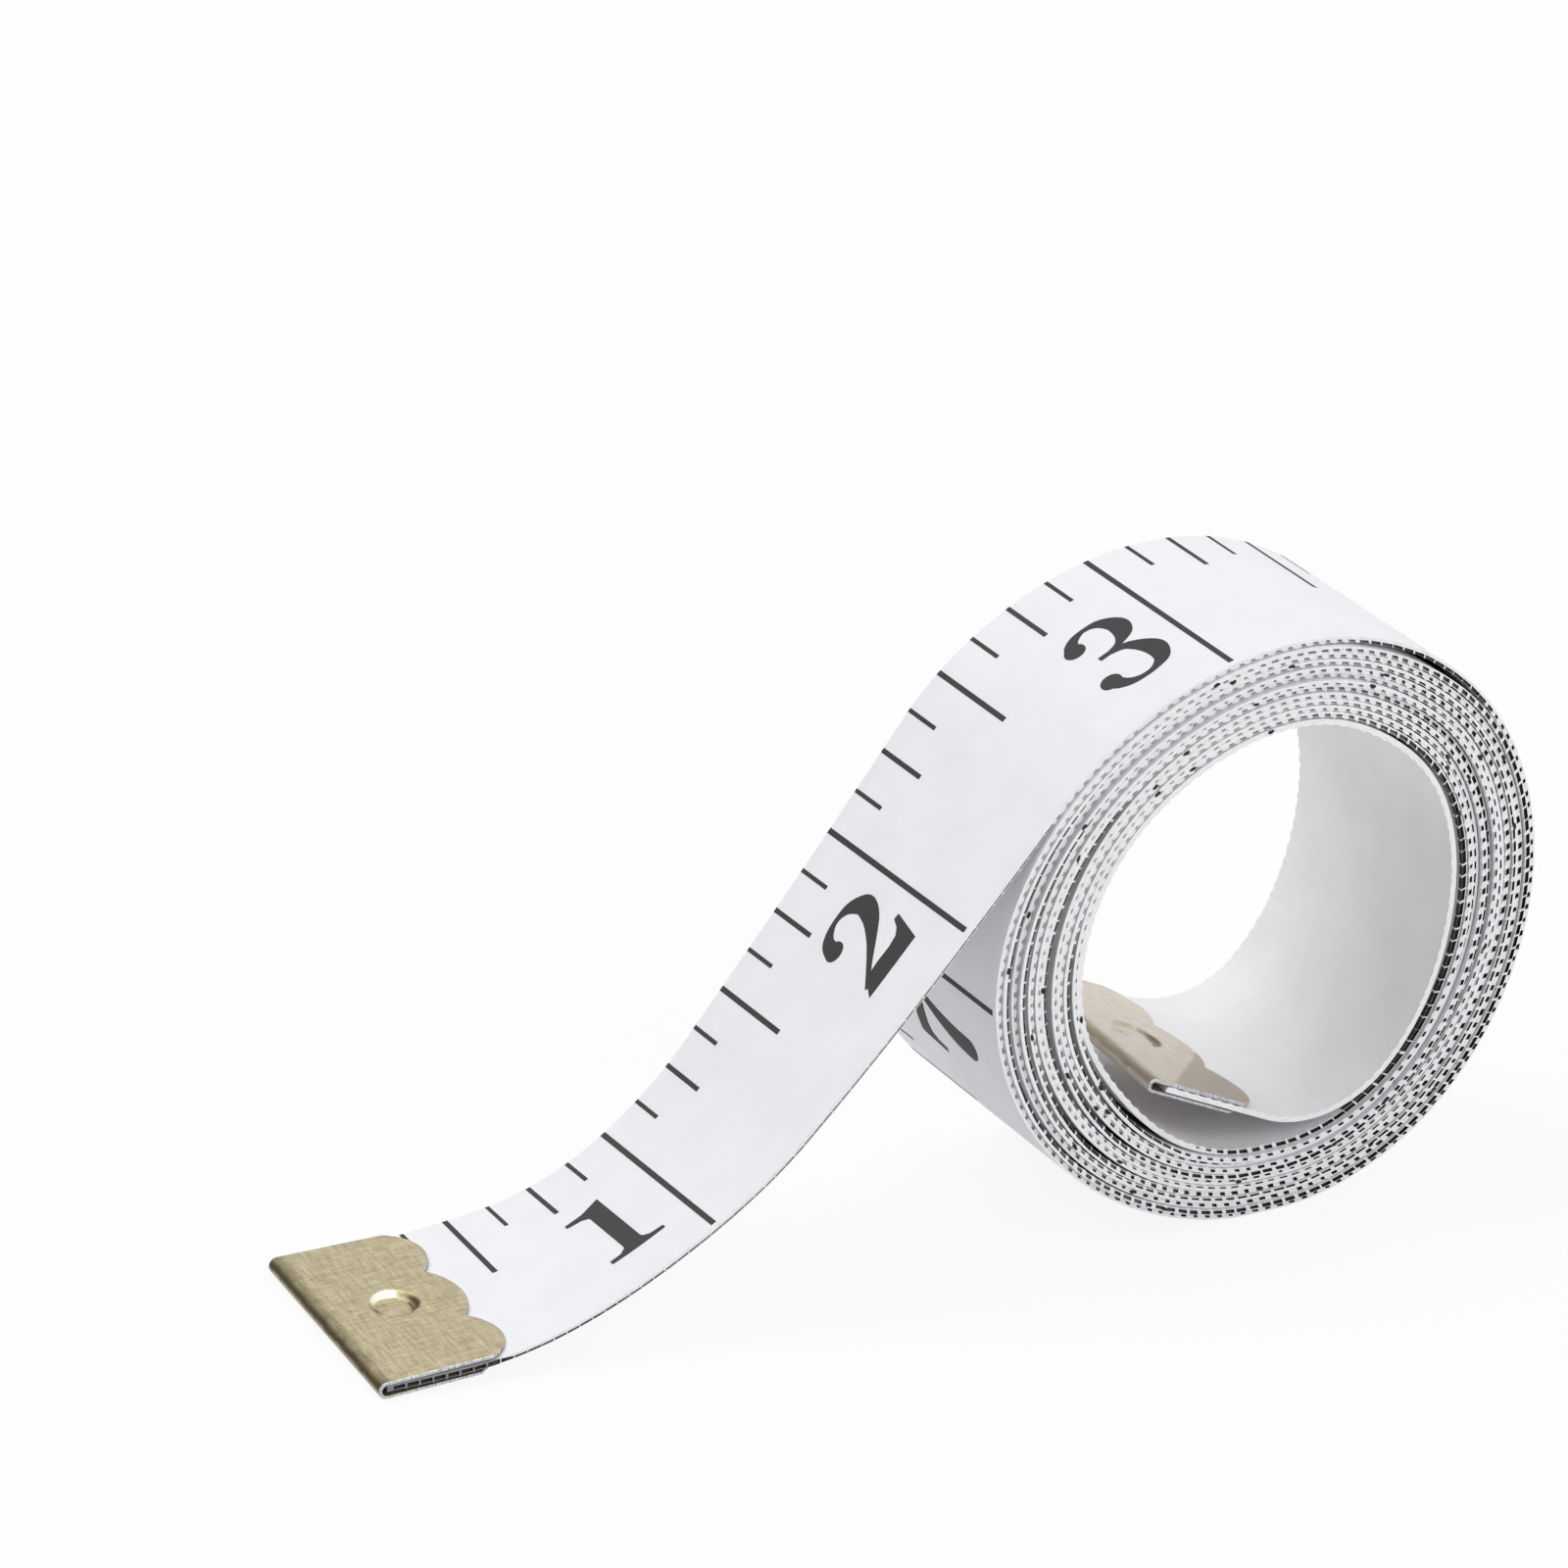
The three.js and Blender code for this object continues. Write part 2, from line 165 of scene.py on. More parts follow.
class Nodes:
    """A node tree under way, with short calls for the nodes that the finishes and the studio share."""

    NOISE_LOW, NOISE_HIGH = 0.3, 0.7

    def __init__(self, tree: bpy.types.NodeTree) -> None:
        """Keeps the tree."""
        self.tree = tree

    def fill(self, socket: bpy.types.NodeSocket, value: object) -> None:
        """Links an output socket, or stores a plain value, in one input.

        Args:
            socket: The input.
            value: An output socket, a plain value, or None to leave the input alone.
        """
        if isinstance(value, bpy.types.NodeSocket):
            self.tree.links.new(value, socket)
        elif value is not None:
            socket.default_value = value

    def add(self, kind: str, *inputs: object) -> bpy.types.Node:
        """Adds a node and fills its first inputs with links or plain values.

        Args:
            kind: Blender's name for the node's type.
            inputs: Output sockets, plain values, or None to leave an input alone.

        Returns:
            The new node.
        """
        node = self.tree.nodes.new(kind)
        for socket, value in zip(node.inputs, inputs):
            self.fill(socket, value)
        return node

    def chosen(self, kind: str, field: str, choice: str, *inputs: object) -> bpy.types.Node:
        """Adds a node that works by a choice.

        Args:
            kind: Blender's name for the node's type.
            field: Name of the node's field that holds the choice.
            choice: What the field is set to.
            inputs: Output sockets, plain values, or None to leave an input alone.

        Returns:
            The new node.
        """
        node = self.add(kind, *inputs)
        setattr(node, field, choice)
        return node

    def stored(self, name: str) -> bpy.types.NodeOutputs:
        """Gives what a mesh stores at its points under a name."""
        return self.chosen("ShaderNodeAttribute", "attribute_name", name).outputs

    def scaled(self, place: bpy.types.NodeSocket, scale: Colour) -> bpy.types.NodeSocket:
        """Stretches each direction of a place by its own factor."""
        return self.chosen("ShaderNodeVectorMath", "operation", "MULTIPLY", place, scale).outputs["Vector"]

    def split(self, place: bpy.types.NodeSocket) -> bpy.types.NodeOutputs:
        """Gives the three parts of a place."""
        return self.add("ShaderNodeSeparateXYZ", place).outputs

    def sum(self, operation: str, first: object, second: object = None) -> bpy.types.NodeSocket:
        """Does one step of arithmetic, by Blender's name for it."""
        return self.chosen("ShaderNodeMath", "operation", operation, first, second).outputs[0]

    def range(self, value: bpy.types.NodeSocket, low: float, high: float,
              start: object, end: object) -> bpy.types.NodeSocket:
        """Carries a value from one range to another, and holds it at both ends."""
        return self.add("ShaderNodeMapRange", value, low, high, start, end).outputs["Result"]

    def spread(self, noise: bpy.types.NodeSocket, start: float, end: float) -> bpy.types.NodeSocket:
        """Carries the usual range of a noise to another range."""
        return self.range(noise, self.NOISE_LOW, self.NOISE_HIGH, start, end)

    def noise(self, place: bpy.types.NodeSocket, scale: float, detail: float = 2.0,
              roughness: float = 0.5) -> bpy.types.NodeSocket:
        """Makes soft random values.

        Args:
            place: Where the noise is read.
            scale: Blotches per unit of the place.
            detail: Octaves of finer noise.
            roughness: Weight of the finer noise.

        Returns:
            Values round one half.
        """
        node = self.add("ShaderNodeTexNoise")
        inputs = {"Vector": place, "Scale": scale, "Detail": detail, "Roughness": roughness}
        for key, value in inputs.items():
            self.fill(node.inputs[key], value)
        return node.outputs["Fac"]

    def ridges(self, along: bpy.types.NodeSocket, pitch: float) -> bpy.types.NodeSocket:
        """Makes even ridges from 0 to 1 along one direction, a given pitch apart."""
        wave = self.sum("SINE", self.sum("MULTIPLY", along, TURN / pitch))
        return self.range(wave, -1.0, 1.0, 0.0, 1.0)

    def ramp(self, value: bpy.types.NodeSocket, low: float, first: Colour,
             high: float, second: Colour) -> bpy.types.NodeSocket:
        """Spreads two colours along a value.

        Args:
            value: What picks the colour.
            low: Value up to which the first colour holds.
            first: The first colour.
            high: Value from which the second colour holds.
            second: The second colour.

        Returns:
            The colour at the value.
        """
        node = self.add("ShaderNodeValToRGB", value)
        for element, position, colour in zip(node.color_ramp.elements, (low, high), (first, second)):
            element.position = position
            element.color = (*colour, 1.0)
        return node.outputs["Color"]

    def mix(self, share: bpy.types.NodeSocket, first: object, second: object) -> bpy.types.NodeSocket:
        """Mixes two colours by a share.

        Args:
            share: 0 gives the first colour and 1 the second.
            first: A colour, or a socket that gives one.
            second: A colour, or a socket that gives one.

        Returns:
            The mixed colour.
        """
        node = self.chosen("ShaderNodeMix", "data_type", "RGBA")
        inputs = {socket.identifier: socket for socket in node.inputs}
        for key, value in (("Factor_Float", share), ("A_Color", first), ("B_Color", second)):
            self.fill(inputs[key], (*value, 1.0) if isinstance(value, tuple) else value)
        return next(socket for socket in node.outputs if socket.identifier == "Result_Color")


class Draft(Nodes):
    """A material under way."""

    def __init__(self, name: str) -> None:
        """Starts a material with its usual shader.

        Args:
            name: Name of the material.
        """
        self.material = bpy.data.materials.new(name)
        self.material.use_nodes = True
        super().__init__(self.material.node_tree)
        self.shader = self.tree.nodes["Principled BSDF"]

    def set(self, **values: float | Colour) -> None:
        """Sets shader sockets that are the same all over.

        Args:
            values: Numbers and colours, by the sockets' names in lower case.
        """
        names = {socket.name.lower().replace(" ", "_"): socket for socket in self.shader.inputs}
        for key, value in values.items():
            names[key].default_value = (*value, 1.0) if isinstance(value, tuple) else value

    def feed(self, socket: str, source: bpy.types.NodeSocket) -> None:
        """Links a node's output to one of the shader's sockets."""
        self.fill(self.shader.inputs[socket], source)

    def bump(self, height: bpy.types.NodeSocket, depth: float) -> None:
        """Gives the surface a relief.

        Args:
            height: Values from 0 to 1.
            depth: Depth of the relief in millimetres.
        """
        node = self.add("ShaderNodeBump")
        self.fill(node.inputs["Height"], height)
        self.fill(node.inputs["Distance"], depth * MM)
        self.feed("Normal", node.outputs["Normal"])


@dataclass(frozen=True)
class CoatFinish:
    """Smooth white plastic coat, with a trace of the weave that it covers."""

    name: str
    pale: Colour
    dull: Colour
    gloss: float = 0.55
    gloss_less: float = 0.06
    gloss_more: float = 0.08
    blotch_scale: float = 0.22
    dull_below: float = 0.3
    pale_above: float = 0.62
    mottle_scale: float = 2.1
    weave_pitch: float = 0.95
    across_share: float = 0.62
    weave_depth: float = 0.006
    ior: float = 1.4

    def material(self) -> bpy.types.Material:
        """Makes the coat's material.

        Returns:
            The material with its nodes.
        """
        draft = Draft(self.name)
        place = draft.stored("strip")["Vector"]
        parts = draft.split(place)
        blotches = draft.noise(place, self.blotch_scale, 3.0)
        colour = draft.ramp(blotches, self.dull_below, self.dull, self.pale_above, self.pale)
        draft.feed("Base Color", colour)
        mottle = draft.noise(place, self.mottle_scale)
        low, high = self.gloss - self.gloss_less, self.gloss + self.gloss_more
        draft.feed("Roughness", draft.spread(mottle, low, high))
        along = draft.ridges(parts["X"], self.weave_pitch)
        across = draft.ridges(parts["Y"], self.weave_pitch * self.across_share)
        draft.bump(draft.sum("MULTIPLY", along, across), self.weave_depth)
        draft.set(ior=self.ior)
        return draft.material


@dataclass(frozen=True)
class CutFinish:
    """Cut surface in two tones: the fibrous edge of the coat, or the sheared edge of a metal sheet."""

    name: str
    pale: Colour
    dull: Colour
    stored_as: str = "strip"
    grain: Colour = (1.2, 6.0, 9.0)
    dull_below: float = 0.28
    pale_above: float = 0.55
    roughness: Point2 = (0.75, 0.55)
    depth: float = 0.012
    metal: float = 0.0

    def material(self) -> bpy.types.Material:
        """Makes the cut surface's material.

        Returns:
            The material with its nodes.
        """
        draft = Draft(self.name)
        place = draft.stored(self.stored_as)["Vector"]
        fibres = draft.noise(draft.scaled(place, self.grain), 1.0, 3.0, 0.6)
        colour = draft.ramp(fibres, self.dull_below, self.dull, self.pale_above, self.pale)
        draft.feed("Base Color", colour)
        draft.feed("Roughness", draft.spread(fibres, *self.roughness))
        draft.bump(fibres, self.depth)
        draft.set(metallic=self.metal)
        return draft.material


@dataclass(frozen=True)
class CoreFinish:
    """Dark woven core in the windows of the cut edge, paler where its stored tone is low."""

    name: str
    dark: Colour
    pale_core: Colour
    thread: Colour
    thread_pitch: float = 0.05
    thread_depth: float = 0.01
    thread_share: float = 0.12
    fleck_scale: float = 7.0
    roughness: Point2 = (0.6, 0.85)

    def material(self) -> bpy.types.Material:
        """Makes the core's material.

        Returns:
            The material with its nodes.
        """
        draft = Draft(self.name)
        place = draft.stored("strip")["Vector"]
        colour = draft.mix(draft.stored("core_tone")["Fac"], self.pale_core, self.dark)
        threads = draft.ridges(draft.split(place)["Z"], self.thread_pitch)
        fleck = draft.noise(place, self.fleck_scale, 3.0, 0.6)
        lit = draft.range(draft.sum("MULTIPLY", threads, fleck), 0.1, 0.6, 0.0, self.thread_share)
        draft.feed("Base Color", draft.mix(lit, colour, self.thread))
        draft.feed("Roughness", draft.spread(fleck, *self.roughness))
        draft.bump(threads, self.thread_depth)
        return draft.material


@dataclass(frozen=True)
class InkFinish:
    """Dark grey printing, ribbed by the threads under the coat and worn in tiny specks."""

    name: str
    dark: Colour
    worn: Colour
    rib_pitch: float = 0.31
    rib_depth: float = 0.004
    grain: Colour = (3.0, 9.0, 1.0)
    worn_share: float = 0.7
    roughness: Point2 = (0.45, 0.65)
    sheen: float = 0.3

    def material(self) -> bpy.types.Material:
        """Makes the ink's material.

        Returns:
            The material with its nodes.
        """
        draft = Draft(self.name)
        place = draft.stored("strip")["Vector"]
        ribs = draft.ridges(draft.split(place)["Y"], self.rib_pitch)
        fleck = draft.noise(draft.scaled(place, self.grain), 1.0, 3.0, 0.65)
        worn = draft.range(draft.sum("MULTIPLY", ribs, fleck), 0.2, 0.7, 0.0, self.worn_share)
        draft.feed("Base Color", draft.mix(worn, self.dark, self.worn))
        draft.feed("Roughness", draft.spread(fleck, *self.roughness))
        draft.bump(ribs, self.rib_depth)
        draft.set(specular_ior_level=self.sheen)
        return draft.material


@dataclass(frozen=True)
class BrassFinish:
    """Brushed brass sheet: crossed fine scratches and random tarnish spots, with painted reflection and
    shade: a dark band on the fold short of a brighter lip, dark walls and a bright far wall in the press
    mark, and a darker near corner.
    """

    name: str
    bright: Colour
    dull: Colour
    olive: Colour
    painted_highlight: Colour
    roughness: float = 0.42
    fold_share: float = 1.0
    near_shade: float = 0.0
    lengthwise: Colour = (0.5, 4.2, 1.0)
    crosswise: Colour = (4.4, 0.45, 1.0)
    scratch_depth: float = 0.014
    dull_below: float = 0.33
    bright_above: float = 0.64
    rougher: Point2 = (-0.1, 0.12)
    blotch_scale: float = 0.5
    wander: float = 0.12
    spot_share: float = 0.3
    fold_rise: Point2 = (-0.12, 0.2)
    lip_painted_share: float = 0.1
    fold_fall: Point2 = (0.38, 1.45)
    shade_slant: float = 1.2
    shade_edge: Point2 = (-12.9, -12.4)
    full_highlight: float = -0.6
    metal: float = 0.85

    def _stains_and_shade(self, draft: Draft, parts: bpy.types.NodeOutputs,
                blotches: bpy.types.NodeSocket) -> bpy.types.NodeSocket:
        """Works out how far the olive mix goes: random tarnish spots, and painted reflection and shade on
        the fold, on the press mark's walls and on a near corner.

        Args:
            draft: The material under way.
            parts: Distance round the sheet from the fold, distance across it, and the walls' painted shade,
                or a fixed olive share on the inner side.
            blotches: Soft random values that make the borders of the tarnish spots and of the painted shade
                wander.

        Returns:
            Values from 0 for clean brass to 1.
        """
        wander = draft.spread(blotches, -self.wander, self.wander)
        from_fold = draft.sum("ADD", parts["X"], wander)
        # Dark band along the fold that stops short of a brighter lip: painted reflection.
        rising = draft.range(from_fold, *self.fold_rise, self.lip_painted_share, 1.0)
        falling = draft.range(from_fold, *self.fold_fall, 1.0, 0.0)
        fold = draft.sum("MULTIPLY", draft.sum("MULTIPLY", rising, falling), self.fold_share)
        spots = draft.range(blotches, 0.6, 0.8, 0.0, self.spot_share)
        stains_and_shade = draft.sum("MAXIMUM", draft.sum("MAXIMUM", fold, parts["Z"]), spots)
        # Darker beyond a slanted line towards the near corner: painted reflection.
        aslant = draft.sum("SUBTRACT", parts["Y"], draft.sum("MULTIPLY", parts["X"], self.shade_slant))
        shaded = draft.range(draft.sum("ADD", aslant, wander), *self.shade_edge, self.near_shade, 0.0)
        return draft.sum("MAXIMUM", stains_and_shade, shaded)

    def material(self) -> bpy.types.Material:
        """Makes the brass sheet's material.

        Returns:
            The material with its nodes.
        """
        draft = Draft(self.name)
        place = draft.stored("sheet")["Vector"]
        parts = draft.split(place)
        flat = draft.scaled(place, (1.0, 1.0, 0.0))
        crossed = [draft.noise(draft.scaled(flat, grain), 1.0, 4.0, 0.68)
                   for grain in (self.lengthwise, self.crosswise)]
        scratches = draft.sum("MULTIPLY", draft.sum("ADD", *crossed), 0.5)
        brushed = draft.ramp(scratches, self.dull_below, self.dull, self.bright_above, self.bright)
        stains_and_shade = self._stains_and_shade(draft, parts, draft.noise(flat, self.blotch_scale, 4.0, 0.6))
        # Pale colour where the walls' look is below 0: painted highlight on the press mark's far wall.
        highlight_share = draft.range(parts["Z"], 0.0, self.full_highlight, 0.0, 1.0)
        draft.feed("Base Color", draft.mix(highlight_share, draft.mix(stains_and_shade, brushed, self.olive), self.painted_highlight))
        low, high = (self.roughness + more for more in self.rougher)
        draft.feed("Roughness", draft.range(scratches, 0.35, 0.65, low, high))
        draft.bump(scratches, self.scratch_depth)
        draft.set(metallic=self.metal)
        return draft.material


@dataclass(frozen=True)
class Slack:
    """A place where one turn stands off the next, in millimetres and degrees."""

    turn: int
    gap: float
    angle: float
    reach: float

    def at(self, travel: Array, leave_angle: float) -> Array:
        """Works out how far the slack moves the tape inwards.

        Args:
            travel: Angles from where the tape leaves the roll, in winding order.
            leave_angle: Angle round the roll at which it leaves.

        Returns:
            Distances towards the roll's axis.
        """
        first = (leave_angle - math.radians(self.angle)) % TURN
        inside = travel > first + (self.turn + 0.5) * TURN
        return np.where(inside, self.gap, 0.0) * hump(wrapped(travel - first), math.radians(self.reach))


@dataclass(frozen=True)
class TapeSizes:
    """Sizes of the tape and of the way it lies, in millimetres and radians."""

    width: float = 20.0
    thickness: float = 0.36
    roll_radius: float = 20.75
    oval_swell: float = 0.54
    oval_angle: float = math.radians(39.0)
    lobe_swell: float = 0.31
    lobe_angle: float = math.radians(57.0)
    foot_depth: float = 0.06
    foot_blend: float = 0.08
    turns: int = 12
    leave_angle: float = math.radians(144.4)
    lift_angle: float = math.radians(-52.0)
    turn_gap: float = 0.05
    top_gap: float = 0.05
    side_gap: float = 0.012
    right_gap: float = 0.038
    slacks: tuple[Slack, ...] = (
        Slack(0, 0.3, 57.0, 17.0),
        Slack(11, 0.4, -12.0, 55.0),
        Slack(1, 0.34, 182.0, 42.0),
        Slack(3, 0.3, 178.0, 40.0),
        Slack(6, 0.36, 176.0, 40.0),
        Slack(9, 0.2, 195.0, 40.0),
        Slack(4, 0.2, -142.0, 26.0),
        Slack(7, 0.2, -140.0, 24.0),
        Slack(10, 0.4, -137.0, 22.0),
    )
    wander: float = 0.15
    wander_beats: Point2 = (0.45, 1.37)
    wander_fast_share: float = 0.6
    wander_fast_lead: float = 1.0
    side_step: float = 0.28
    side_step_beat: float = 0.37
    side_step_fade: float = 5.0
    bend_radius: float = 30.7
    flat_height: float = 0.82
    tail_yaw: float = math.radians(3.7)
    tail_tilt: float = math.radians(3.0)
    near_lift: float = 1.25
    near_lift_at: float = 21.5
    near_lift_reach: float = 13.0
    far_dip: float = 0.2
    far_dip_at: float = 20.5
    far_dip_reach: float = 7.0
    far_lift: float = 0.3
    far_lift_at: float = 12.0
    far_lift_reach: float = 5.0
    skew: float = math.radians(2.2)
    skew_at: float = 27.0
    skew_reach: float = 14.0
    curl_radius: float = 8.1
    inner_rise: float = math.radians(25.5)
    inner_straight: float = 10.1
    inner_twist: float = math.radians(1.6)


@dataclass(frozen=True)
class Stations:
    """Places along the tape: the middle of the printed face, and the directions across and off it."""

    face: Array
    across: Array
    normal: Array

    def point(self, side: Array | float, depth: Array | float) -> Array:
        """Points at a distance across from the middle and a depth below the printed face."""
        sides, depths = (np.broadcast_to(value, len(self.face))[:, None] for value in (side, depth))
        return self.face + self.across * sides - self.normal * depths


class TapePath:
    """The way the tape lies, by distance along it from the fold of the front clip."""

    AXIS = (0.0, 1.0, 0.0)
    TABLE_STEP = 0.05
    LEAVE_STEP, WIND_STEP, LIFT_STEP = 1.0e-4, 5.0e-3, 1.0e-3
    FOOT_FROM, NO_FOOT = 0.5, 1.0e3

    def __init__(self, sizes: TapeSizes, fold_x: float) -> None:
        """Lays the tape out.

        Args:
            sizes: The tape's sizes.
            fold_x: Where the front clip's fold lies along X.
        """
        self.sizes = sizes
        foot_travel = sizes.leave_angle + TURN / 4
        foot_radius = self._round_radius(np.array([foot_travel]))[0]
        self.axis_height = foot_radius - sizes.foot_depth
        self.lift_travel = sizes.turns * TURN + sizes.leave_angle - sizes.lift_angle
        self._lay_winding()
        self._lay_tail(fold_x)
        self._lay_inner_end()
        self.lift_at = self.leave_at + self._wind_lengths[-1]
        self.end_at = self.lift_at + self._inner_distances[-1]

    def _step(self, angle: Array) -> Array:
        """Works out how far apart the turns lie.

        Args:
            angle: Angles round the roll.

        Returns:
            Distances from one turn to the next inwards.
        """
        z, side = self.sizes, np.cos(angle)
        gap = z.turn_gap + z.top_gap * (1.0 + np.sin(angle)) / 2.0 + z.side_gap * side**2
        return z.thickness + gap + z.right_gap * np.maximum(side, 0.0) ** 2

    def _round_radius(self, travel: Array) -> Array:
        """Radius of the printed face before the roll's weight flattens its foot.

        Args:
            travel: Angles from where the tape leaves the roll, in winding order.

        Returns:
            Radii from the roll's axis.
        """
        z = self.sizes
        angle = z.leave_angle - travel
        oval = z.oval_swell * np.cos(2.0 * (angle - z.oval_angle))
        lobes = z.lobe_swell * np.cos(3.0 * (angle - z.lobe_angle))
        slack = sum(item.at(travel, z.leave_angle) for item in z.slacks)
        inward = travel / TURN * self._step(angle) + slack
        return z.roll_radius + oval + lobes - inward

    def wind_point(self, travel: Array) -> Array:
        """Points of the printed face's middle along the winding.

        Args:
            travel: Angles from where the tape leaves the roll, in winding order.

        Returns:
            Rows of x, y and z.
        """
        z = self.sizes
        angle = z.leave_angle - travel
        count = np.clip(np.floor(travel / TURN), 0, z.turns).astype(int)
        foot = self.axis_height - count * self._step(-TURN / 4)
        down = -np.sin(angle)
        flat = np.where(down > self.FOOT_FROM, foot / np.maximum(down, self.FOOT_FROM), self.NO_FOOT)
        blend = z.foot_blend
        radius = -blend * np.logaddexp(-self._round_radius(travel) / blend, -flat / blend)
        height = self.axis_height + radius * np.sin(angle)
        return np.stack([radius * np.cos(angle), self._aside(travel), height], 1)

    def _aside(self, travel: Array) -> Array:
        """Works out how far the turns stand aside.

        Args:
            travel: Angles from where the tape leaves the roll, in winding order.

        Returns:
            Shifts along the roll's axis.
        """
        z = self.sizes
        step = z.side_step * np.exp(-travel / z.side_step_fade) * np.cos(travel * z.side_step_beat)
        loose = z.wander * (1.0 - np.exp(-travel / TURN))
        slow, fast = (travel * beat for beat in z.wander_beats)
        return step + loose * (np.sin(slow) + z.wander_fast_share * np.sin(fast + z.wander_fast_lead))

    def gap_behind(self, along: Array) -> Array:
        """Open space between a turn of the winding and the next one inwards, at distances from the fold."""
        travel = self.travel(along)
        return self._round_radius(travel) - self._round_radius(travel + TURN) - self.sizes.thickness

    @staticmethod
    def _walked(start: Array, steps: Array) -> Array:
        """Points of a way that leaves its start by one step after another."""
        return start + np.concatenate([np.zeros((1, 3)), np.cumsum(steps, 0)])

    @staticmethod
    def _looked_up(distance: Array, distances: Array, points: Array) -> Array:
        """Points at distances along a way that is tabled."""
        return np.stack([np.interp(distance, distances, column) for column in points.T], 1)

    def _lay_winding(self) -> None:
        """Tables the winding's length against its travel."""
        count = int(self.lift_travel * self.sizes.roll_radius / self.TABLE_STEP)
        self._travels = np.linspace(0.0, self.lift_travel, count)
        points = self.wind_point(self._travels)
        steps = np.linalg.norm(np.diff(points, axis=0), axis=1)
        self._wind_lengths = np.concatenate([[0.0], np.cumsum(steps)])

    def _lay_tail(self, fold_x: float) -> None:
        """Tables the zero end, by distance from where it leaves the roll.

        Args:
            fold_x: Where the front clip's fold lies along X.
        """
        z = self.sizes
        start, after = self.wind_point(np.array([0.0, self.LEAVE_STEP]))
        self.leave_slope = math.asin(-unit(start - after)[2])
        drop = z.bend_radius * (1.0 - math.cos(self.leave_slope))
        self.bend_start = (start[2] - z.flat_height - drop) / math.sin(self.leave_slope)
        self.bend_end = self.bend_start + z.bend_radius * self.leave_slope
        self._tail_distances = np.arange(0.0, self.bend_end + z.roll_radius, self.TABLE_STEP)
        steps = self._tail_heading(self._tail_distances[:-1] + self.TABLE_STEP / 2) * self.TABLE_STEP
        self._tail_points = self._walked(start, steps)
        self.leave_at = float(np.interp(-fold_x, -self._tail_points[:, 0], self._tail_distances))

    def _tail_yaw(self, distance: Array) -> Array:
        """Sideways turn of the zero end at distances from the roll."""
        return self.sizes.tail_yaw * np.clip(distance / self.bend_end, 0.0, 1.0)

    def _tail_heading(self, distance: Array) -> Array:
        """Works out which way the zero end runs.

        Args:
            distance: Distances from where it leaves the roll.

        Returns:
            Directions away from the roll.
        """
        bent = np.clip((distance - self.bend_start) / self.sizes.bend_radius, 0.0, self.leave_slope)
        slope, yaw = self.leave_slope - bent, self._tail_yaw(distance)
        level = np.cos(slope)
        return np.stack([-level * np.cos(yaw), level * np.sin(yaw), -np.sin(slope)], 1)

    def _tail_across(self, yaw: Array, tilt: Array, sideways: Array) -> Array:
        """Directions across the zero end, from its sideways turn, its tilt and its slope across."""
        level = np.cos(tilt)
        return unit(np.stack([np.sin(yaw) * level, np.cos(yaw) * level, sideways], 1))

    def _tail_stations(self, along: Array) -> Stations:
        """Finds stations of the zero end.

        Args:
            along: Distances from the front clip's fold.

        Returns:
            One station for each distance.
        """
        z = self.sizes
        distance = self.leave_at - along
        face = self._looked_up(distance, self._tail_distances, self._tail_points)
        yaw = self._tail_yaw(distance)
        tilt = z.tail_tilt * np.sin(math.pi * np.clip(distance / self.bend_end, 0.0, 1.0))
        near = z.near_lift * hump(along - z.near_lift_at, z.near_lift_reach)
        far = z.far_lift * hump(along - z.far_lift_at, z.far_lift_reach)
        far -= z.far_dip * hump(along - z.far_dip_at, z.far_dip_reach)
        face[:, 2] += (near + far) / 2.0
        sideways = -np.sin(tilt) - (near - far) / z.width
        skewed = yaw + z.skew * hump(along - z.skew_at, z.skew_reach)
        square, across = (self._tail_across(turned, tilt, sideways) for turned in (yaw, skewed))
        face += (square - across) * z.width / 2.0
        return Stations(face, across, unit(np.cross(-self._tail_heading(distance), across)))

    def travel(self, along: Array) -> Array:
        """Angle travelled on the roll at distances from the front clip's fold."""
        return np.interp(along - self.leave_at, self._wind_lengths, self._travels)

    def _wind_stations(self, along: Array) -> Stations:
        """Finds stations of the winding.

        Args:
            along: Distances from the front clip's fold.

        Returns:
            One station for each distance.
        """
        travel, step = self.travel(along), self.WIND_STEP
        heading = self.wind_point(travel + step) - self.wind_point(travel - step)
        across = np.tile(self.AXIS, (len(along), 1))
        return Stations(self.wind_point(travel), across, unit(np.cross(heading, across)))

    def _inner_heading(self, distance: Array) -> Array:
        """Directions along the inner end at distances from where it lifts off."""
        slope = np.minimum(self.sizes.inner_rise, distance / self.sizes.curl_radius - self.lift_slope)
        return np.stack([-np.cos(slope), np.zeros_like(slope), np.sin(slope)], 1)

    def _lay_inner_end(self) -> None:
        """Tables the inner end, by distance from where it lifts off the innermost turn."""
        z = self.sizes
        before, start = self.wind_point(np.array([self.lift_travel - self.LIFT_STEP, self.lift_travel]))
        self.lift_slope = math.asin(-unit(start - before)[2])
        length = z.curl_radius * (z.inner_rise + self.lift_slope) + z.inner_straight
        self._inner_distances = np.linspace(0.0, length, int(length / self.TABLE_STEP))
        step = self._inner_distances[1]
        steps = self._inner_heading(self._inner_distances[:-1] + step / 2) * step
        self._inner_points = self._walked(start, steps)

    def _inner_stations(self, along: Array) -> Stations:
        """Finds stations of the inner end.

        Args:
            along: Distances from the front clip's fold.

        Returns:
            One station for each distance.
        """
        z = self.sizes
        distance = along - self.lift_at
        face = self._looked_up(distance, self._inner_distances, self._inner_points)
        heading = self._inner_heading(distance)
        level = np.tile(self.AXIS, (len(face), 1))
        curl = self._inner_distances[-1] - z.inner_straight
        twist = (z.inner_twist * ease(distance / curl))[:, None]
        across = level * np.cos(twist) + np.cross(level, heading) * np.sin(twist)
        return Stations(face, across, np.cross(heading, across))

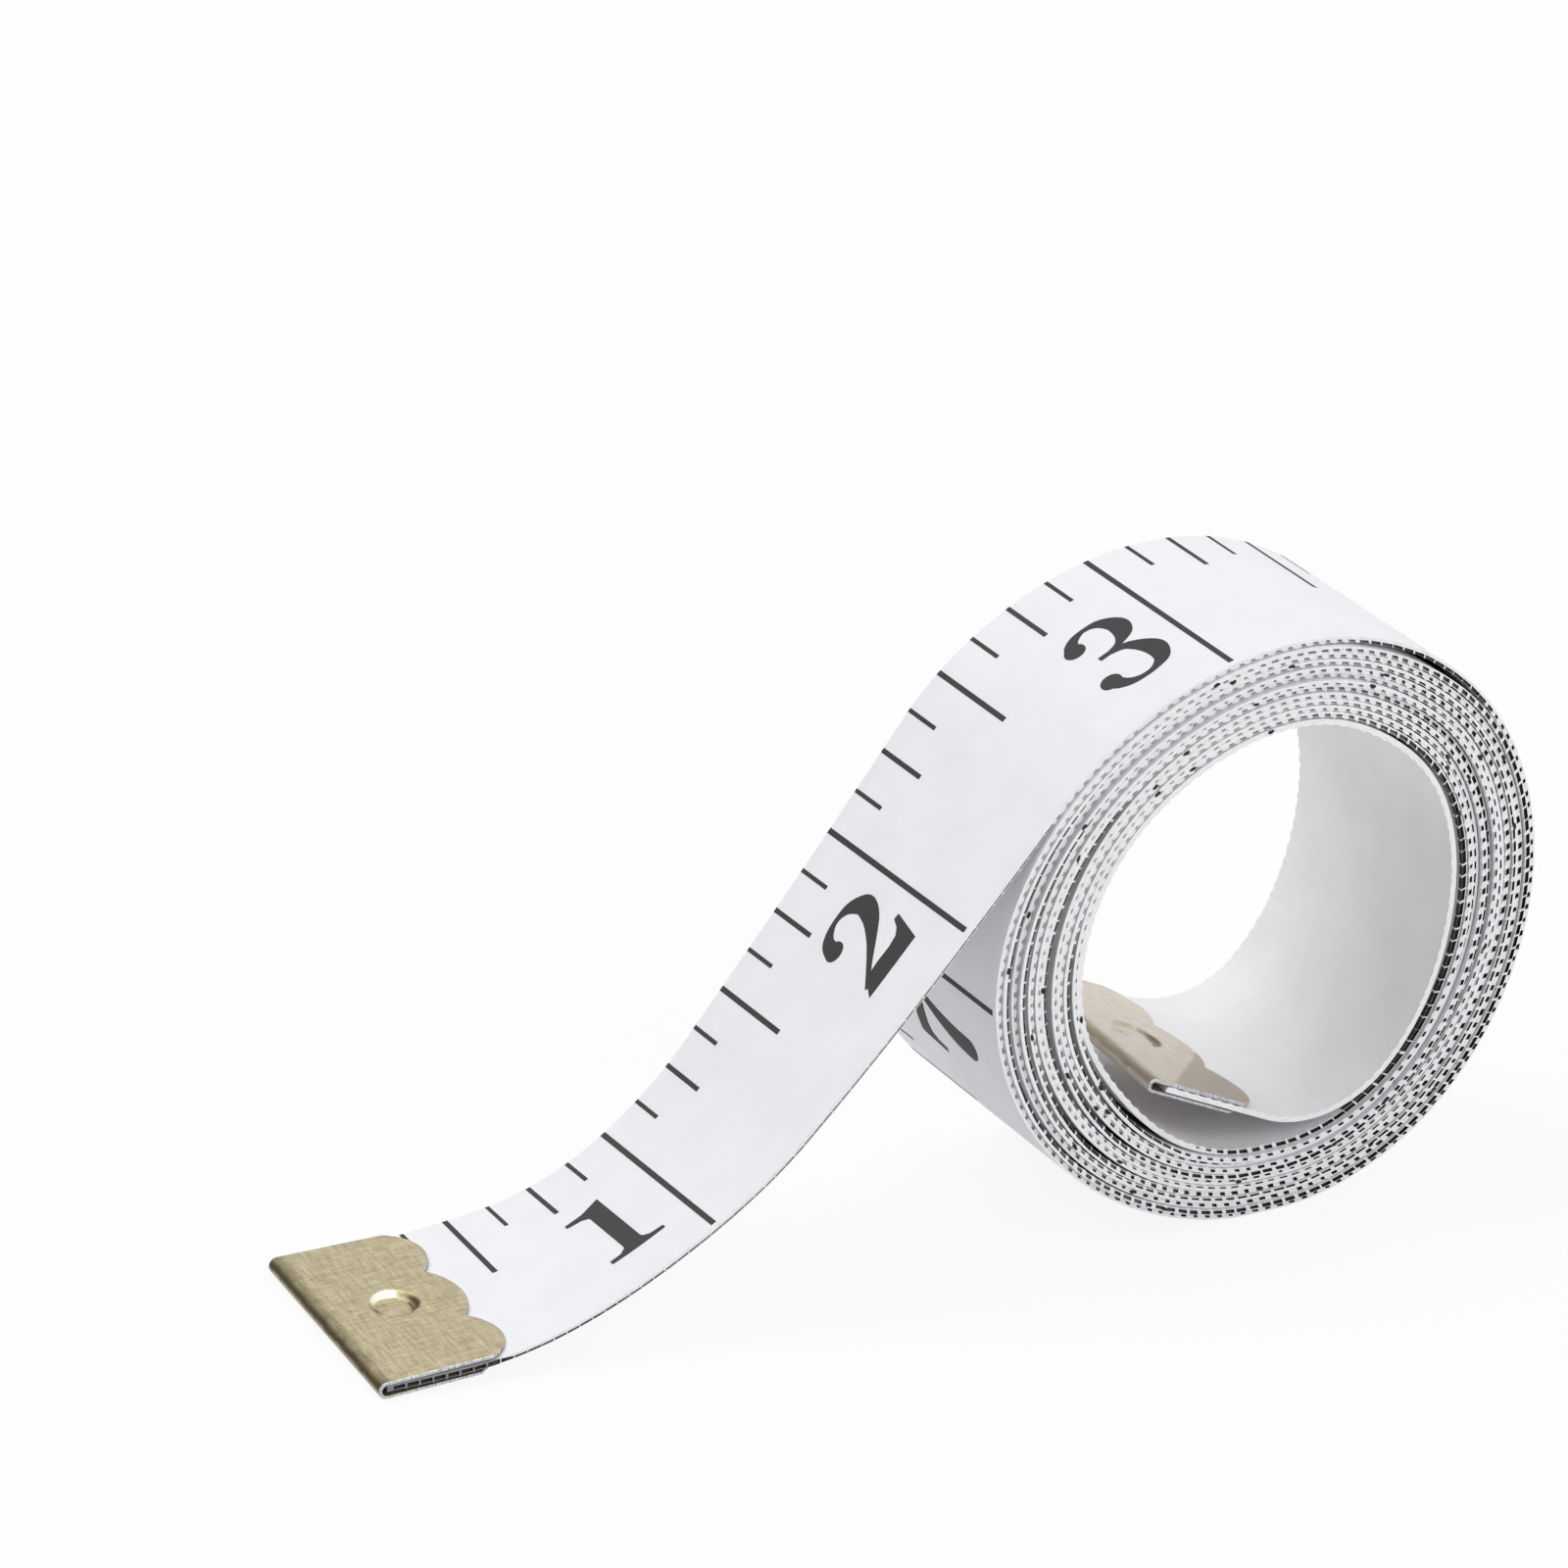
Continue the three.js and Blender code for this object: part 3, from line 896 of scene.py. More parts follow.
    def at(self, along: Array) -> Stations:
        """Stations anywhere on the tape.

        Args:
            along: Distances from the front clip's fold.

        Returns:
            One station for each distance.
        """
        along = np.asarray(along, dtype=float)
        face, across, normal = (np.zeros((len(along), 3)) for _ in range(3))
        stretches = (
            (along <= self.leave_at, self._tail_stations),
            ((along > self.leave_at) & (along <= self.lift_at), self._wind_stations),
            (along > self.lift_at, self._inner_stations),
        )
        for chosen, lay in stretches:
            if chosen.any():
                found = lay(along[chosen])
                face[chosen], across[chosen], normal[chosen] = found.face, found.across, found.normal
        return Stations(face, across, normal)


@dataclass(frozen=True)
class EdgeWeave:
    """How the dark woven core shows in the tape's cut edges, and where its dark material is painted shade.
    """

    pitch: float = 0.95
    tail_window: float = 0.88
    faint_fill: float = 0.32
    # The lined_ sizes draw the dark core taller and at the back where a turn stands off the next: painted
    # shade beside the gap.
    lined_window: float = 0.84
    lined_height: float = 0.13
    lined_from: float = 0.17
    lined_to: float = 0.26
    lined_shown: float = 0.5
    lined_coat_lost: float = 0.85
    clipped_window: float = 0.8
    jitter: float = 0.07
    tail_jitter: float = 0.3
    faint_height: float = 0.08
    bold_height: float = 0.3
    height_spread: Point2 = (0.85, 1.15)
    back_coat: float = 0.04
    faint_depth: float = 0.03
    bold_depth: float = 0.22
    tooth: float = 0.085
    back_margin: float = 0.4
    bold_angle: float = math.radians(-36.0)
    wear_middle: float = 0.58
    wear_swing: float = 0.52
    wear_least: float = 0.08
    rows: tuple[Point2, ...] = (
        (0.22, 0.4), (0.33, 0.82), (0.27, 0.44), (0.17, 0.76), (0.32, 0.44),
        (0.12, 0.55), (0.15, 0.42), (0.28, 0.78), (0.24, 0.42), (0.14, 0.68),
        (0.2, 0.38), (0.33, 0.82), (0.33, 0.82),
    )
    row_change: float = 0.08
    tail_wear: float = 0.3
    tail_wear_lost: float = 0.16
    tail_tone_lost: float = 0.55
    tail_fade: float = 22.0
    slant: float = 0.4
    tail_tone: float = 0.85
    # In the clipped stretch, the cut edge takes the core's material at clipped_tone: painted shade in the
    # front clip's mouth.
    clipped: float = 8.9
    clipped_coat: float = 0.03
    clipped_tone: float = 0.5
    smooth_end: float = 77.0
    smooth_fade: float = 4.0
    shown: float = 0.06
    tone_gain: float = 1.4
    tone_spread: Point2 = (0.75, 1.25)
    seed: int = 41

    def around(self, path: TapePath, along: Array) -> Array:
        """Works out how far the edge of the winding is worn open.

        Args:
            path: The way the tape lies.
            along: Distances from the front clip's fold.

        Returns:
            Values up to 1, by the angle round the roll.
        """
        angle = path.sizes.leave_angle - path.travel(along)
        worn = self.wear_middle + self.wear_swing * np.cos(angle - self.bold_angle)
        return np.clip(worn, self.wear_least, 1.0)

    def faded(self, along: Array) -> Array:
        """How far the core of the zero end fades, from 0 at its clip to 1 towards the roll."""
        return ease((along - self.clipped) / self.tail_fade)

    def wear(self, path: TapePath, along: Array) -> Array:
        """Works out how far the edge is worn open.

        Args:
            path: The way the tape lies.
            along: Distances from the front clip's fold.

        Returns:
            Values from 0 for a closed edge to 1.
        """
        tail = self.tail_wear - self.tail_wear_lost * self.faded(along)
        worn = np.where(along < path.leave_at, tail, self.around(path, along))
        worn = np.where(along < self.clipped, 1.0, worn)
        return worn * ease((path.lift_at - self.smooth_end - along) / self.smooth_fade)

    def windows(self, path: TapePath, along: Array) -> tuple[Array, Array]:
        """Works out the windows, which change with the turn they are on, where the edge is most worn.

        Args:
            path: The way the tape lies.
            along: Distances from the front clip's fold.

        Returns:
            Heights of the windows, and the share of the edge that they take.
        """
        turn = path.travel(along) / TURN
        whole = np.clip(np.floor(turn), 0, len(self.rows) - 2).astype(int)
        rows = np.array(self.rows)
        share = ease((turn - whole - 1.0) / self.row_change + 1.0)[:, None]
        height, fill = (rows[whole] + (rows[whole + 1] - rows[whole]) * share).T
        return np.where(along < path.leave_at, self.bold_height, height), fill

    def lined(self, path: TapePath, along: Array) -> Array:
        """Works out where painted shade, the core's dark material drawn at the back of the edge, runs
        beside the gap where a turn stands off the next.

        Args:
            path: The way the tape lies.
            along: Distances from the front clip's fold.

        Returns:
            Values from 0 for no line to 1.
        """
        share = (path.gap_behind(along) - self.lined_from) / (self.lined_to - self.lined_from)
        wound = (along > path.leave_at) & (along < path.lift_at - self.smooth_end)
        return np.where(wound, ease(share), 0.0)

    def tone(self, path: TapePath, along: Array) -> Array:
        """Works out how dark the core looks.

        Args:
            path: The way the tape lies.
            along: Distances from the front clip's fold.

        Returns:
            Values from 0 for the palest core to 1: on the winding darker towards the lower right of the
                roll, and darker where a turn stands off the next, which is painted shade; on the zero end
                darker towards its clip.
        """
        wound = np.maximum(self.around(path, along) * self.tone_gain, self.lined(path, along))
        tail = self.tail_tone - self.tail_tone_lost * self.faded(along)
        return np.where(along < path.leave_at, tail, wound)


class Held(StrEnum):
    """How a stretch of the tape is held."""

    LAID = "laid"
    DRAPED = "draped"
    FOLDED = "folded"


@dataclass(frozen=True)
class Stretch:
    """One stretch of the tape, and how it moves."""

    name: str
    start: float
    end: float
    body: str
    nodes: tuple[str, ...]
    held: Held
    bends_to: str | None = None
    bend: Point2 | None = None


@dataclass(frozen=True)
class TapeFinishes:
    """The tape's materials."""

    face: bpy.types.Material
    back: bpy.types.Material
    edge: bpy.types.Material
    core: bpy.types.Material
    web: bpy.types.Material
    ink: bpy.types.Material


class StripSlot(IntEnum):
    """Places of the materials on a stretch of tape."""

    FACE = 0
    BACK = 1
    EDGE = 2
    CORE = 3
    WEB = 4


class StripSkin:
    """Faces of a stretch of tape under way, with the floors of the windows sunk into its edges."""

    def __init__(self, count: int) -> None:
        """Starts a skin without faces.

        Args:
            count: Number of points on the strip's outside.
        """
        self.count = count
        self.faces: list[tuple[int, ...]] = []
        self.slots: list[StripSlot] = []
        self.sunk: list[int] = []
        self.shifts: list[Array] = []

    def add(self, corners: Iterable[int], slot: StripSlot) -> None:
        """Adds one face."""
        self.faces.append(tuple(corners))
        self.slots.append(slot)

    def add_window(self, corners: tuple[int, ...], inward: Array) -> None:
        """Adds a window in a face's place: its walls, and a floor sunk into the edge.

        Args:
            corners: Corners of the face, in turn.
            inward: Shift from the face to the window's floor.
        """
        first, sides = self.count + len(self.sunk), len(corners)
        floor = range(first, first + sides)
        self.sunk += corners
        self.shifts += [inward] * sides
        for n in range(sides):
            m = (n + 1) % sides
            self.add((corners[n], corners[m], floor[m], floor[n]), StripSlot.CORE)
        self.add(floor, StripSlot.CORE)


class TapeStrip:
    """Builds stretches of the coated tape as closed strips with a woven core in their edges."""

    FACE_COLUMNS = (0.6, 0.2, -0.2, -0.6)
    EDGE_SLOTS = (StripSlot.EDGE, StripSlot.WEB, StripSlot.EDGE)
    RING_SLOTS = (*EDGE_SLOTS, *(StripSlot.BACK,) * 3, *EDGE_SLOTS, *(StripSlot.FACE,) * 5)
    WINDOWS = {1: 1.0, 7: -1.0}
    BACK_MARGINS = (3, 5)
    OPENS, WEB, CUTS = 0, 2, 3
    END_MARGIN = 0.05

    def __init__(self, path: TapePath, weave: EdgeWeave, finishes: TapeFinishes) -> None:
        """Keeps what the stretches share.

        Args:
            path: The way the tape lies.
            weave: How the core shows in the cut edges.
            finishes: The tape's materials.
        """
        self.path = path
        self.weave = weave
        self.finishes = finishes

    def _cuts(self, start: float, end: float) -> tuple[Array, Array, Array]:
        """Works out where a stretch has its cross-sections.

        Args:
            start: Distance of its first end from the fold.
            end: Distance of its second end from the fold.

        Returns:
            Distances, whether a window follows each of them, and how far the back stands out as teeth.
        """
        weave = self.weave
        cells = np.arange(math.ceil(start / weave.pitch), math.floor(end / weave.pitch))
        rng = np.random.default_rng(weave.seed + len(cells))
        loose = rng.uniform(-weave.jitter, weave.jitter, (2, len(cells)))
        middle = (cells + 0.5) * weave.pitch
        fill = weave.windows(self.path, middle)[1]
        worn = weave.wear(self.path, middle)
        window = weave.pitch * (weave.faint_fill + (fill - weave.faint_fill) * worn)
        lined = weave.lined(self.path, middle)
        window = window + np.maximum(0.0, weave.lined_window - window) * lined
        window = np.where(middle < self.path.leave_at, weave.tail_window, window)
        window = np.where(middle < weave.clipped, weave.clipped_window, window)
        loose = loose * np.where(middle < self.path.leave_at, weave.tail_jitter, 1.0)
        opens, closes = middle - window / 2 + loose[0], middle + window / 2 + loose[1]
        webs = (cells + 1.0) * weave.pitch
        inside = np.stack([opens, closes, webs], 1).ravel()
        inside = inside[inside < end - self.END_MARGIN]
        along = np.concatenate([[start], inside, [end]])
        kinds = np.arange(len(inside)) % self.CUTS
        window = np.concatenate([[False], kinds == self.OPENS, [False]])
        tooth = np.concatenate([[0.0], np.where(kinds == self.WEB, weave.tooth, 0.0), [0.0]])
        return along, window, tooth

    def _openings(self, along: Array, worn: Array, lined: Array,
                  rng: np.random.Generator) -> tuple[Array, Array]:
        """Works out between which depths below the printed face the windows open.

        Args:
            along: Distances of the cross-sections from the fold.
            worn: How far the edge is worn open there.
            lined: How far painted shade follows the back of the edge there.
            rng: Source of the windows' unevenness.

        Returns:
            Depths of the windows' upper and lower sides.
        """
        weave, thickness = self.weave, self.path.sizes.thickness
        tall = weave.windows(self.path, along)[0] * rng.uniform(*weave.height_spread, len(along))
        height = weave.faint_height + (tall - weave.faint_height) * worn
        height = np.minimum(height, thickness - weave.back_coat - weave.clipped_coat)
        height = np.maximum(height, weave.lined_height * lined)
        deep = thickness - weave.back_coat * (1.0 - weave.lined_coat_lost * lined) - height
        top = np.where(along < weave.clipped, weave.clipped_coat, deep)
        return top, top + height

    def _ring(self, top: Array, low: Array, tooth: Array) -> list[tuple[float, Array]]:
        """Lists the corners round the cross-sections, from the near edge under the back and over the face.

        Args:
            top: Depths of the windows' upper sides.
            low: Depths of the windows' lower sides.
            tooth: How far the back stands out as teeth at its edges.

        Returns:
            Distances across from the middle, and depths below the printed face.
        """
        half = self.path.sizes.width / 2
        none, back = np.zeros_like(top), np.full_like(top, self.path.sizes.thickness)
        near = [(-half, none), (-half, top), (-half, low), (-half, back + tooth),
                (self.weave.back_margin - half, back)]
        far = [(-side, depth) for side, depth in reversed(near)]
        return [*near, *far, *((half * share, none) for share in self.FACE_COLUMNS)]

    def _cell_slots(self, dark_back: bool, in_mouth: bool, closed: bool) -> list[StripSlot]:
        """Picks the materials between two cross-sections, where no window opens.

        Args:
            dark_back: Whether painted shade, in the core's material, follows the back of the edges.
            in_mouth: Whether the place lies in the front clip's mouth.
            closed: Whether the edge is closed.

        Returns:
            One slot for each side of the cross-section.
        """
        slots = list(self.RING_SLOTS)
        for k, slot in enumerate(self.RING_SLOTS):
            # At a dark back and in the front clip's mouth, the core's dark material is painted shade.
            if (dark_back and k in self.BACK_MARGINS) or (in_mouth and slot in self.EDGE_SLOTS):
                slots[k] = StripSlot.CORE
            elif closed and slot is StripSlot.WEB:
                slots[k] = StripSlot.EDGE
        return slots

    def build(self, stretch: Stretch) -> bpy.types.Object:
        """Builds one stretch.

        Args:
            stretch: The stretch to build.

        Returns:
            The stretch as a closed mesh with its materials.
        """
        path, weave, finishes = self.path, self.weave, self.finishes
        along, window, tooth = self._cuts(stretch.start, stretch.end)
        stations = path.at(along)
        worn, lined = weave.wear(path, along), weave.lined(path, along)
        rng = np.random.default_rng(weave.seed)
        ring = self._ring(*self._openings(along, worn, lined, rng), tooth)
        wound = np.where(along > path.leave_at, weave.slant, 0.0)
        lean = wound * ease(np.minimum(along - stretch.start, stretch.end - along))
        ahead = np.cross(stations.across, stations.normal) * lean[:, None]
        points = np.stack([stations.point(side, depth) + ahead * depth[:, None] for side, depth in ring], 1)
        places = np.stack([np.stack([along, np.full_like(along, s), d], 1) for s, d in ring], 1)
        points, places = points.reshape(-1, 3), places.reshape(-1, 3)
        count, size = len(along), len(ring)
        tone = weave.tone(path, along) * rng.uniform(*weave.tone_spread, count)
        mouth = along < weave.clipped - weave.pitch
        # In the front clip's mouth, the edge takes a mid grey core tone and its windows are fully dark:
        # painted shade under the clip.
        tones = np.repeat(np.where(mouth, weave.clipped_tone, tone), size)
        sunk_tones = np.repeat(np.where(mouth, 1.0, tone), size)
        recess = weave.faint_depth + (weave.bold_depth - weave.faint_depth) * worn
        skin = StripSkin(len(points))
        for i in range(count - 1):
            is_open = window[i] and max(worn[i], lined[i]) > weave.shown
            # Where a turn stands off the next, the back margins take the core's dark material: painted
            # shade.
            dark_back = is_open and lined[i] > weave.lined_shown
            slots = self._cell_slots(dark_back, mouth[i], worn[i] < weave.shown)
            for k in range(size):
                here, after = i * size + k, i * size + (k + 1) % size
                corners = (here, after, after + size, here + size)
                if is_open and k in self.WINDOWS:
                    skin.add_window(corners, self.WINDOWS[k] * recess[i] * stations.across[i])
                else:
                    skin.add(corners, slots[k])
        # The end inside the front clip's fold takes the core's dark material: painted shade.
        skin.add(reversed(range(size)), StripSlot.CORE if mouth[0] else StripSlot.EDGE)
        skin.add(range((count - 1) * size, count * size), StripSlot.EDGE)
        if skin.sunk:
            points = np.concatenate([points, points[skin.sunk] + np.array(skin.shifts)])
            places = np.concatenate([places, places[skin.sunk]])
            tones = np.concatenate([tones, sunk_tones[skin.sunk]])
        materials = (finishes.face, finishes.back, finishes.edge, finishes.core, finishes.web)
        strip = make_piece(stretch.name, points, skin.faces, materials, skin.slots)
        give_points(strip, "strip", places)
        give_points(strip, "core_tone", np.clip(tones, 0.0, 1.0))
        return strip


@dataclass(frozen=True)
class Stroke:
    """One pen stroke of a numeral: points with the stroke's width there."""

    line: tuple[tuple[float, float, float], ...]
    steps: int = 7

    def outlines(self) -> list[list[Point2]]:
        """Draws the stroke.

        Returns:
            Outlines of small four-sided patches in a row.
        """
        knots = np.array([self.line[0], *self.line, self.line[-1]])
        share = np.linspace(0.0, 1.0, self.steps, endpoint=False)[:, None]
        samples = []
        for a, b, c, d in zip(knots, knots[1:], knots[2:], knots[3:]):
            cubic = 2 * b + (c - a) * share + (2 * a - 5 * b + 4 * c - d) * share**2
            samples.append((cubic + (3 * b - a - 3 * c + d) * share**3) / 2)
        path = np.concatenate([*samples, knots[-1:]])
        heading = unit(np.gradient(path[:, :2], axis=0))
        side = np.stack([-heading[:, 1], heading[:, 0]], 1) * path[:, 2:] / 2
        left, right = path[:, :2] + side, path[:, :2] - side
        return [[tuple(right[i]), tuple(right[i + 1]), tuple(left[i + 1]), tuple(left[i])]
                for i in range(len(path) - 1)]


@dataclass(frozen=True)
class Ball:
    """Round end of a numeral's stroke."""

    middle: Point2
    radius: float
    sides: int = 28

    def outlines(self) -> list[list[Point2]]:
        """Draws the ball.

        Returns:
            Its one outline.
        """
        x, y = self.middle
        angles = [TURN * i / self.sides for i in range(self.sides)]
        return [[(x + self.radius * math.cos(a), y + self.radius * math.sin(a)) for a in angles]]


@dataclass(frozen=True)
class Patch:
    """Straight-sided part of a numeral, with its corners in a turn to the left."""

    corners: tuple[Point2, ...]

    def outlines(self) -> list[list[Point2]]:
        """The patch's outline."""
        return [list(self.corners)]


class Numeral:
    """Upright numerals with heavy bowls, thin links and ball ends, from their lower left corner."""

    SHAPES: dict[int, tuple[Stroke | Ball | Patch, ...]] = {
        1: (
            Patch(((1.6, 0.3), (3.0, 0.3), (3.0, 8.9), (1.6, 8.3))),
            Patch(((0.0, 7.65), (1.1, 7.55), (1.53, 7.27), (1.7, 6.8), (3.0, 6.9), (2.95, 8.94),
                   (1.43, 8.28), (0.0, 8.1))),
            Patch(((0.2, 0.0), (4.5, 0.0), (4.5, 0.43), (3.5, 0.6), (3.07, 0.97), (3.0, 1.25),
                   (1.6, 1.25), (1.53, 0.97), (1.1, 0.58), (0.2, 0.5))),
        ),
        2: (
            Ball((1.05, 6.62), 0.8),
            Stroke(((0.98, 6.9, 1.3), (1.22, 7.75, 1.08), (1.88, 8.33, 0.76), (2.8, 8.58, 0.5),
                    (3.92, 8.2, 1.0), (4.68, 7.1, 1.55), (4.6, 6.15, 1.6), (4.1, 5.1, 1.36),
                    (3.05, 3.78, 0.86), (1.65, 2.28, 0.5), (0.4, 0.85, 0.42))),
            Patch(((0.0, 0.0), (5.03, 0.0), (5.6, 3.13), (5.13, 3.17), (4.8, 2.4), (4.33, 1.93),
                   (3.5, 1.77), (2.17, 1.83), (1.23, 1.73), (0.5, 0.93))),
        ),
        3: (
            Ball((1.05, 7.16), 0.79),
            Stroke(((1.0, 7.35, 1.25), (1.25, 7.95, 1.0), (1.85, 8.42, 0.7), (2.75, 8.62, 0.47),
                    (3.75, 8.3, 0.95), (4.48, 7.2, 1.5), (4.28, 6.0, 1.35), (3.45, 5.1, 0.6),
                    (2.5, 4.72, 0.45))),
            Stroke(((1.6, 4.7, 0.48), (3.4, 4.7, 0.48))),
            Stroke(((2.5, 4.66, 0.45), (3.7, 4.28, 0.85), (4.72, 2.7, 1.58), (4.5, 1.15, 1.2),
                    (3.6, 0.42, 0.62), (2.65, 0.25, 0.5), (1.75, 0.5, 0.76), (1.13, 1.1, 1.06),
                    (0.92, 1.75, 1.2))),
            Ball((0.8, 1.85), 0.79),
        ),
        4: (
            Patch(((3.2, 0.4), (4.6, 0.4), (4.6, 8.9), (3.6, 8.9), (3.2, 8.2))),
            Stroke(((3.93, 8.6, 0.55), (0.3, 2.6, 0.5))),
            Patch(((0.0, 2.2), (5.6, 2.2), (5.6, 2.75), (0.0, 2.75))),
            Patch(((2.3, 0.0), (5.45, 0.0), (5.45, 0.47), (4.7, 0.6), (4.6, 1.0), (3.2, 1.0),
                   (3.1, 0.6), (2.3, 0.47))),
        ),
        5: (
            Stroke(((1.2, 8.3, 0.95), (2.8, 8.0, 1.15), (4.5, 8.4, 0.75))),
            Stroke(((1.13, 8.6, 0.42), (1.13, 4.7, 0.42))),
            Stroke(((1.13, 4.7, 0.35), (2.0, 5.2, 0.5), (3.3, 5.25, 1.0), (4.5, 4.0, 1.5),
                    (4.7, 2.8, 1.6), (4.17, 1.17, 1.3), (2.83, 0.27, 0.47), (1.5, 0.42, 0.53),
                    (0.6, 1.5, 0.73))),
            Ball((0.8, 2.0), 0.78),
        ),
        6: (
            Ball((4.5, 7.45), 0.73),
            Stroke(((4.3, 8.2, 0.6), (3.17, 8.65, 0.47), (1.67, 7.5, 1.1), (0.9, 5.33, 1.6),
                    (0.87, 3.17, 1.65), (1.5, 1.17, 1.2), (2.83, 0.27, 0.47), (4.17, 1.0, 1.1),
                    (4.77, 2.67, 1.45), (4.33, 4.33, 1.1), (3.17, 5.17, 0.47), (2.0, 4.67, 0.47),
                    (1.33, 3.67, 0.4))),
        ),
        7: (
            Patch(((0.0, 5.35), (0.42, 5.3), (0.62, 6.3), (1.0, 6.95), (1.7, 7.2), (4.9, 7.2),
                   (4.95, 8.72), (0.5, 8.72), (0.36, 8.3), (0.2, 7.0))),
            Stroke(((4.6, 8.0, 0.6), (3.9, 6.5, 0.76), (3.1, 4.5, 1.25), (2.58, 2.5, 1.65),
                    (2.4, 0.87, 1.74))),
            Ball((2.4, 0.87), 0.87),
        ),
    }
    OFF_REGISTER: dict[int, Point2] = {2: (0.0, 0.28), 3: (0.08, -0.38), 7: (0.0, -0.55)}

    @classmethod
    def outlines(cls, digit: int) -> list[list[Point2]]:
        """All the outlines that a numeral is made of."""
        return [outline for shape in cls.SHAPES[digit] for outline in shape.outlines()]

    @classmethod
    def middle(cls, digit: int) -> float:
        """Middle of a numeral's width."""
        across = [x for outline in cls.outlines(digit) for x, _ in outline]
        return (min(across) + max(across)) / 2


@dataclass(frozen=True)
class ScaleSizes:
    """Sizes of the printed scale, in millimetres; reaches are measured from the far edge."""

    inches: int = 7
    zero: float = -0.05
    outer_slack: float = -2.5
    slack_from: float = 95.0
    slack_to: float = 150.0
    inch_reach: float = 19.54
    half_reach: float = 9.15
    quarter_reach: float = 5.34
    eighth_reach: float = 3.65
    inch_line: float = 0.42
    half_line: float = 0.4
    quarter_line: float = 0.36
    eighth_line: float = 0.31
    first_eighth: int = 3
    last_eighth: int = 60
    numeral_before_line: float = 4.5
    numeral_foot: float = -5.7
    film_over: float = 0.014
    film_under: float = 0.03
    slice: float = 0.5
    speck_length: float = 0.55
    speck_height: float = 0.27
    speck_spread: Point2 = (0.75, 1.15)
    speck_middle: float = 0.55
    first_speck: int = 8
    last_speck: int = 56


